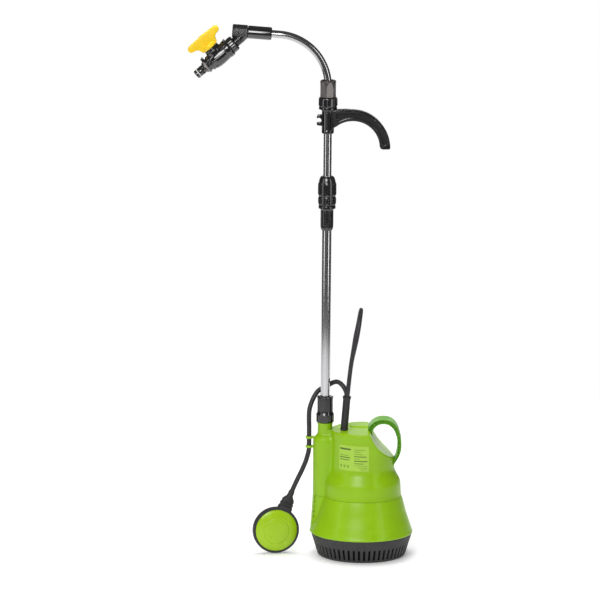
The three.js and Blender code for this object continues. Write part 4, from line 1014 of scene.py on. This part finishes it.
# ------------------------------------------------------------------ cables
UP = [(-27.3, -4.6, 277.4), (-28.2, -4.4, 282.4), (-30.6, -3.2, 288), (-36, 0, 295), (-43.9, 6, 298.6), (-52.4, 11, 295.6), (-59.5, 14, 290.6), (-68.4, 15.3, 286), (-76.4, 13.5, 280.6), (-82, 10, 273), (-87.2, 6, 262.4), (-90.6, 2.5, 251), (-91.4, 0.6, 238.6), (-91, 0, 219.6), (-91, 0, 205), (-91, 0, 188)]
LO = [(-91.2, 0, 180.5), (-93.4, 0.2, 170.9), (-97, 1, 158.6), (-104.6, 2.5, 140.5), (-109.8, 3.8, 129.3), (-114.3, 4.7, 119)]
bt = FC + bd * 70.5
fpath = catmull(UP + LO + [tuple(bt)], 2.2)
fc = tube("float_lead", fpath, 4.0, CABLE, 20)
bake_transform(fc)
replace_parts(fc, "float_cable_upper", "float_cable_lower")

RUN = [(-26.4, -13.4, 277.2), (-25.6, -13.4, 284), (-24.2, -12.8, 299), (-22, -12.2, 320), (-19, -11.6, 341), (-14.6, -11, 361), (-10.6, -9.8, 380), (-7.8, -6, 397), (-6, 1, 409.5), (-4.8, 12, 417), (-4.3, 24, 419.5), (-4.4, 36, 417.8), (-5.2, 48, 411.5), (-6.6, 58, 401), (-9, 66, 385), (-12.8, 70.5, 365), (-16.4, 73.5, 340), (-20.6, 76, 310), (-24.4, 78.5, 275), (-27.2, 80, 252), (-29, 81.5, 232), (-29.5, 83.5, 205), (-26.5, 87, 165), (-14, 91, 125), (2, 93.5, 88), (18, 93.5, 60), (36, 95, 34), (53.5, 106, 14.5), (67, 121.5, 6), (74.2, 138, 4.2)]
CC, DC = np.array([0.0, 166.0]), 7.2
COLS = [68.6, 61.2, 53.8, 46.4]
ROWZ = [5.5 + 7.3 * k for k in range(7)]


def coil_points(turns_top):
    """four columns wide, rows laid from the floor up, counter-clockwise"""
    seq = []
    for k in range(6):
        cols = COLS if k % 2 == 0 else COLS[::-1]
        seq += [(c, ROWZ[k]) for c in cols]
    seq += [(68.6 if i == 0 else COLS[i], ROWZ[6]) for i in range(turns_top)]
    pts = []
    n = 30
    for i, (r, z) in enumerate(seq):
        rn, zn = seq[i + 1] if i + 1 < len(seq) else (r, z)
        for k in range(n):
            u = k / n
            w = smooth(min(1, max(0, (u - 0.84) / 0.16)))
            rr, zz = r + (rn - r) * w, z + (zn - z) * w
            a = 2 * math.pi * u
            wob = 0.25 * math.sin(3 * a + i * 1.7) + 0.15 * math.sin(5 * a + i * 0.9)
            pts.append((CC[0] + (rr + wob) * math.cos(a), CC[1] + (rr + wob) * math.sin(a), zz + 0.1 * math.sin(2 * a + i)))
    return pts


lead_in = [(75.6, 150, 4.6)]
TAIL = []
ctop = coil_points(1)
# the last turn leaves the top layer at the back and climbs into the plug
lastz = ROWZ[6]
cut_at = len(ctop)
extra = []
for a_deg, r_, z_ in ((0, 68.4, 49.4), (15, 68.2, 49.4), (30, 67.8, 49.6), (45, 67.2, 50.2), (60, 66.6, 51.6), (75, 66.0, 54.0), (90, 65.8, 57.4), (103, 66.0, 61.4), (116, 66.6, 65.4), (128, 67.6, 68.8), (138, 69.0, 71.0), (145, 70.2, 71.8)):
    a = rad(a_deg)
    extra.append((CC[0] + r_ * math.cos(a), CC[1] + r_ * math.sin(a), z_))
PLUG_AT = np.array([-57.5, 166.0, 53.3 + 18.8])
extra += [(-57.5, 166 + 36.0, 72.1), (-57.5, 166 + 30.0, 72.1)]
full = RUN + lead_in + ctop + extra
ppath = catmull(full, 2.6)
pc = tube("power_lead", ppath, 3.6, CABLE, 12, "pump")

# plug ---------------------------------------------------------------
PM = np.array([[0, -1, 0, PLUG_AT[0]], [0, 0, -1, PLUG_AT[1]], [1, 0, 0, PLUG_AT[2]], [0, 0, 0, 1.0]])  # local Z towards the pins
pprof = [(0, -38), (3.7, -38), (4.7, -37.2), (4.9, -34), (4.6, -33.4), (5.1, -32.6), (5.3, -30), (4.9, -29.4), (5.5, -28.6), (5.8, -26), (5.4, -25.4), (6.0, -24.6), (6.4, -21), (9.2, -16.5), (14.2, -11.5), (17.6, -6), (18.5, -1), (18.5, 20), (17.6, 22.4), (16.2, 22.6), (16.0, 25.8), (15.2, 26), (0, 26)]
pl = lathe("plug_body", pprof, RUBBER, 72, (0, 0), PM, "pump", r=0.5, mod=lambda t, r, z: r * (1 - (0.10 * abs(math.sin(t)) ** 3 if 3 > z > -12 else 0)), dens=2.0)
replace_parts(pl, "power_plug")
for k, s in enumerate((-9.5, 9.5)):
    QM = PM.copy(); QM[:3, 3] = PM[:3, 3] + PM[:3, 1] * s
    lathe("plug_pin_%d" % k, [(0, 25.5), (2.4, 25.5), (2.4, 43), (1.8, 44.2), (0, 44.4)], STEEL, 28, (0, 0), QM, "pump", r=0.3)
    QM = PM.copy(); QM[:3, 3] = PM[:3, 3] + PM[:3, 0] * (s / 9.5 * 17.0)
    prism("plug_earth_%d" % k, [(-0.8, -2.2), (0.8, -2.2), (0.8, 2.2), (-0.8, 2.2)], 8, 25.6, STEEL, QM, "pump", 0.3)


def tie():
    """strap round the bundle"""
    y0, w = CC[0] + 57.5, 15.0
    ou = [(y0 - w - 2.0, 3), (y0 - w - 2.0, 51), (y0 - w + 1.5, 54.6), (y0 + w - 1.5, 54.6), (y0 + w + 2.0, 51), (y0 + w + 2.0, 3), (y0 + w - 1.5, 0.1), (y0 - w + 1.5, 0.1)]
    inn = [(y0 - w - 0.6, 4), (y0 - w - 0.6, 50.4), (y0 - w + 1.6, 53.4), (y0 + w - 1.6, 53.4), (y0 + w + 0.6, 50.4), (y0 + w + 0.6, 4), (y0 + w - 1.6, 1.3), (y0 - w + 1.6, 1.3)]
    A = rounded(ou, 3.0, 4, True); B = rounded(inn, 3.0, 4, True)
    n = len(A)
    v, f = [], []
    for d in (-5.0, 5.0):
        v += [(p[0], CC[1] + d, p[1]) for p in A] + [(p[0], CC[1] + d, p[1]) for p in B]
    for i in range(n):
        j = (i + 1) % n
        f += [(i, j, n + j, n + i), (2 * n + i, 3 * n + i, 3 * n + j, 2 * n + j), (i, 2 * n + i, 2 * n + j, j), (n + i, n + j, 3 * n + j, 3 * n + i)]
    return build("tie_strap", v, f, WHITE, 35, None, "pump")


ti = tie()
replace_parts(ti, "coil_tie")
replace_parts(pc, "power_cable", "power_cord_coil")
print("CORD LENGTHS", length(fpath), length(ppath))

# ------------------------------------------------------------------ finishes on the CAD pieces that stay
slots = {s["node"]: s["material_slot"] for s in frame["record"].get("subparts", [])}
by_slot = {"green_shell": GREEN, "foot_grey": FOOT, "black_plastic": BLACK, "inner_plastic": INNER, "grip_grey": GRIPG, "white_plastic": WHITE, "yellow_plastic": YELLOW, "black_rubber": RUBBER, "tube_metal": TUBE, "steel": STEEL, "lamination": IRON, "copper_winding": COPPER, "brass": BRASS, "label_film": LABEL}
for nm, o in frame["nodes"].items():
    mt = by_slot.get(slots.get(nm), INNER)
    if len(o.material_slots) == 0:
        continue
    for s in o.material_slots:
        s.link = "OBJECT"
        s.material = mt

# ------------------------------------------------------------------ floor and light
def stage_piece(name, verts, faces, mt):
    me = bpy.data.meshes.new(name)
    me.from_pydata(verts, [], faces)
    me.materials.append(mt)
    o = bpy.data.objects.new(name, me)
    scene.collection.objects.link(o)
    return o


def glow(name, strength):
    mt = bpy.data.materials.new(name)
    mt.use_nodes = True
    nt = mt.node_tree
    nt.nodes.clear()
    e = nt.nodes.new("ShaderNodeEmission")
    e.inputs["Color"].default_value = (1, 1, 1, 1)
    e.inputs["Strength"].default_value = strength
    o = nt.nodes.new("ShaderNodeOutputMaterial")
    nt.links.new(e.outputs[0], o.inputs[0])
    mt.cycles.emission_sampling = "NONE"
    return mt


# floor with a round front edge, a lit far floor, and a lit panel behind that only the pieces reflect
FR, FX, FZ, FY = 1.4, -0.1, -0.0004, 1.25
ring = [(FX + FR * math.cos(t), FR * math.sin(t), FZ) for t in np.linspace(-math.pi, 0, 49)]
white_floor = material("floor_white", (0.92, 0.92, 0.92), 0.6, var=0.004, var_scale=2, bump=0.0, rough_var=0.02)
for nd in white_floor.node_tree.nodes:
    if nd.type == "BSDF_PRINCIPLED":
        nd.inputs["Emission Color"].default_value = (1, 1, 1, 1)
        nd.inputs["Emission Strength"].default_value = 0.22
white_floor.cycles.emission_sampling = "NONE"
stage_piece("studio_floor", ring + [(FX + FR, FY, FZ), (FX - FR, FY, FZ)], [tuple(range(51))], white_floor)
LIT = glow("lit_white", 1.0)
stage_piece("studio_far_floor", [(FX - FR, FY, FZ), (FX + FR, FY, FZ), (FX + FR, 4.6, FZ), (FX - FR, 4.6, FZ)], [(0, 1, 2, 3)], LIT)
panel = stage_piece("studio_panel", [(FX - FR, 3.2, 0.02), (FX + FR, 3.2, 0.02), (FX + FR, 3.2, 1.05), (FX - FR, 3.2, 1.05)], [(0, 1, 2, 3)], glow("lit_panel", 1.6))
panel.visible_camera = False
# two upright strips, for the bright lines on the tubes and the glossy plastic
for nm, sx, sy, wd, strength in (("right", 1.1, -0.95, 0.30, 3.3), ("left", -1.35, -0.75, 0.32, 2.5)):
    dx, dy = -sy / math.hypot(sx, sy) * wd / 2, sx / math.hypot(sx, sy) * wd / 2
    st = stage_piece("studio_strip_" + nm, [(sx - dx, sy - dy, 0.21), (sx + dx, sy + dy, 0.21), (sx + dx, sy + dy, 1.85), (sx - dx, sy - dy, 1.85)], [(0, 1, 2, 3)], glow("lit_strip_" + nm, strength))
    st.visible_camera = False
    st.visible_diffuse = False
    st.visible_shadow = False

# a dim studio that the pieces reflect, with a white background behind the object from every side
world = bpy.data.worlds.new("studio")
scene.world = world
world.use_nodes = True
wt = world.node_tree
bg = wt.nodes["Background"]
bg.inputs[0].default_value = (1, 1, 1, 1)
bg.inputs[1].default_value = 0.10
white = wt.nodes.new("ShaderNodeBackground")
white.inputs[0].default_value = (1, 1, 1, 1)
white.inputs[1].default_value = 1.0
rays = wt.nodes.new("ShaderNodeLightPath")
both = wt.nodes.new("ShaderNodeMixShader")
wt.links.new(rays.outputs["Is Camera Ray"], both.inputs[0])
wt.links.new(bg.outputs[0], both.inputs[1])
wt.links.new(white.outputs[0], both.inputs[2])
wt.links.new(both.outputs[0], wt.nodes["World Output"].inputs[0])


def area(name, loc, aim, size, power, glossy=True):
    d = bpy.data.lights.new(name, "AREA")
    d.energy = power
    d.shape = "SQUARE"
    d.size = size
    o = bpy.data.objects.new(name, d)
    o.location = loc
    o.rotation_euler = (Vector(aim) - Vector(loc)).to_track_quat("-Z", "Y").to_euler()
    o.visible_glossy = glossy
    o.visible_camera = False
    scene.collection.objects.link(o)
    return o


area("key", (-0.6, -2.0, 1.6), (-0.05, 0, 0.35), 1.1, 34)
area("top", (-0.1, 0.5, 2.6), (-0.1, 0.55, 0), 2.0, 66, glossy=False)
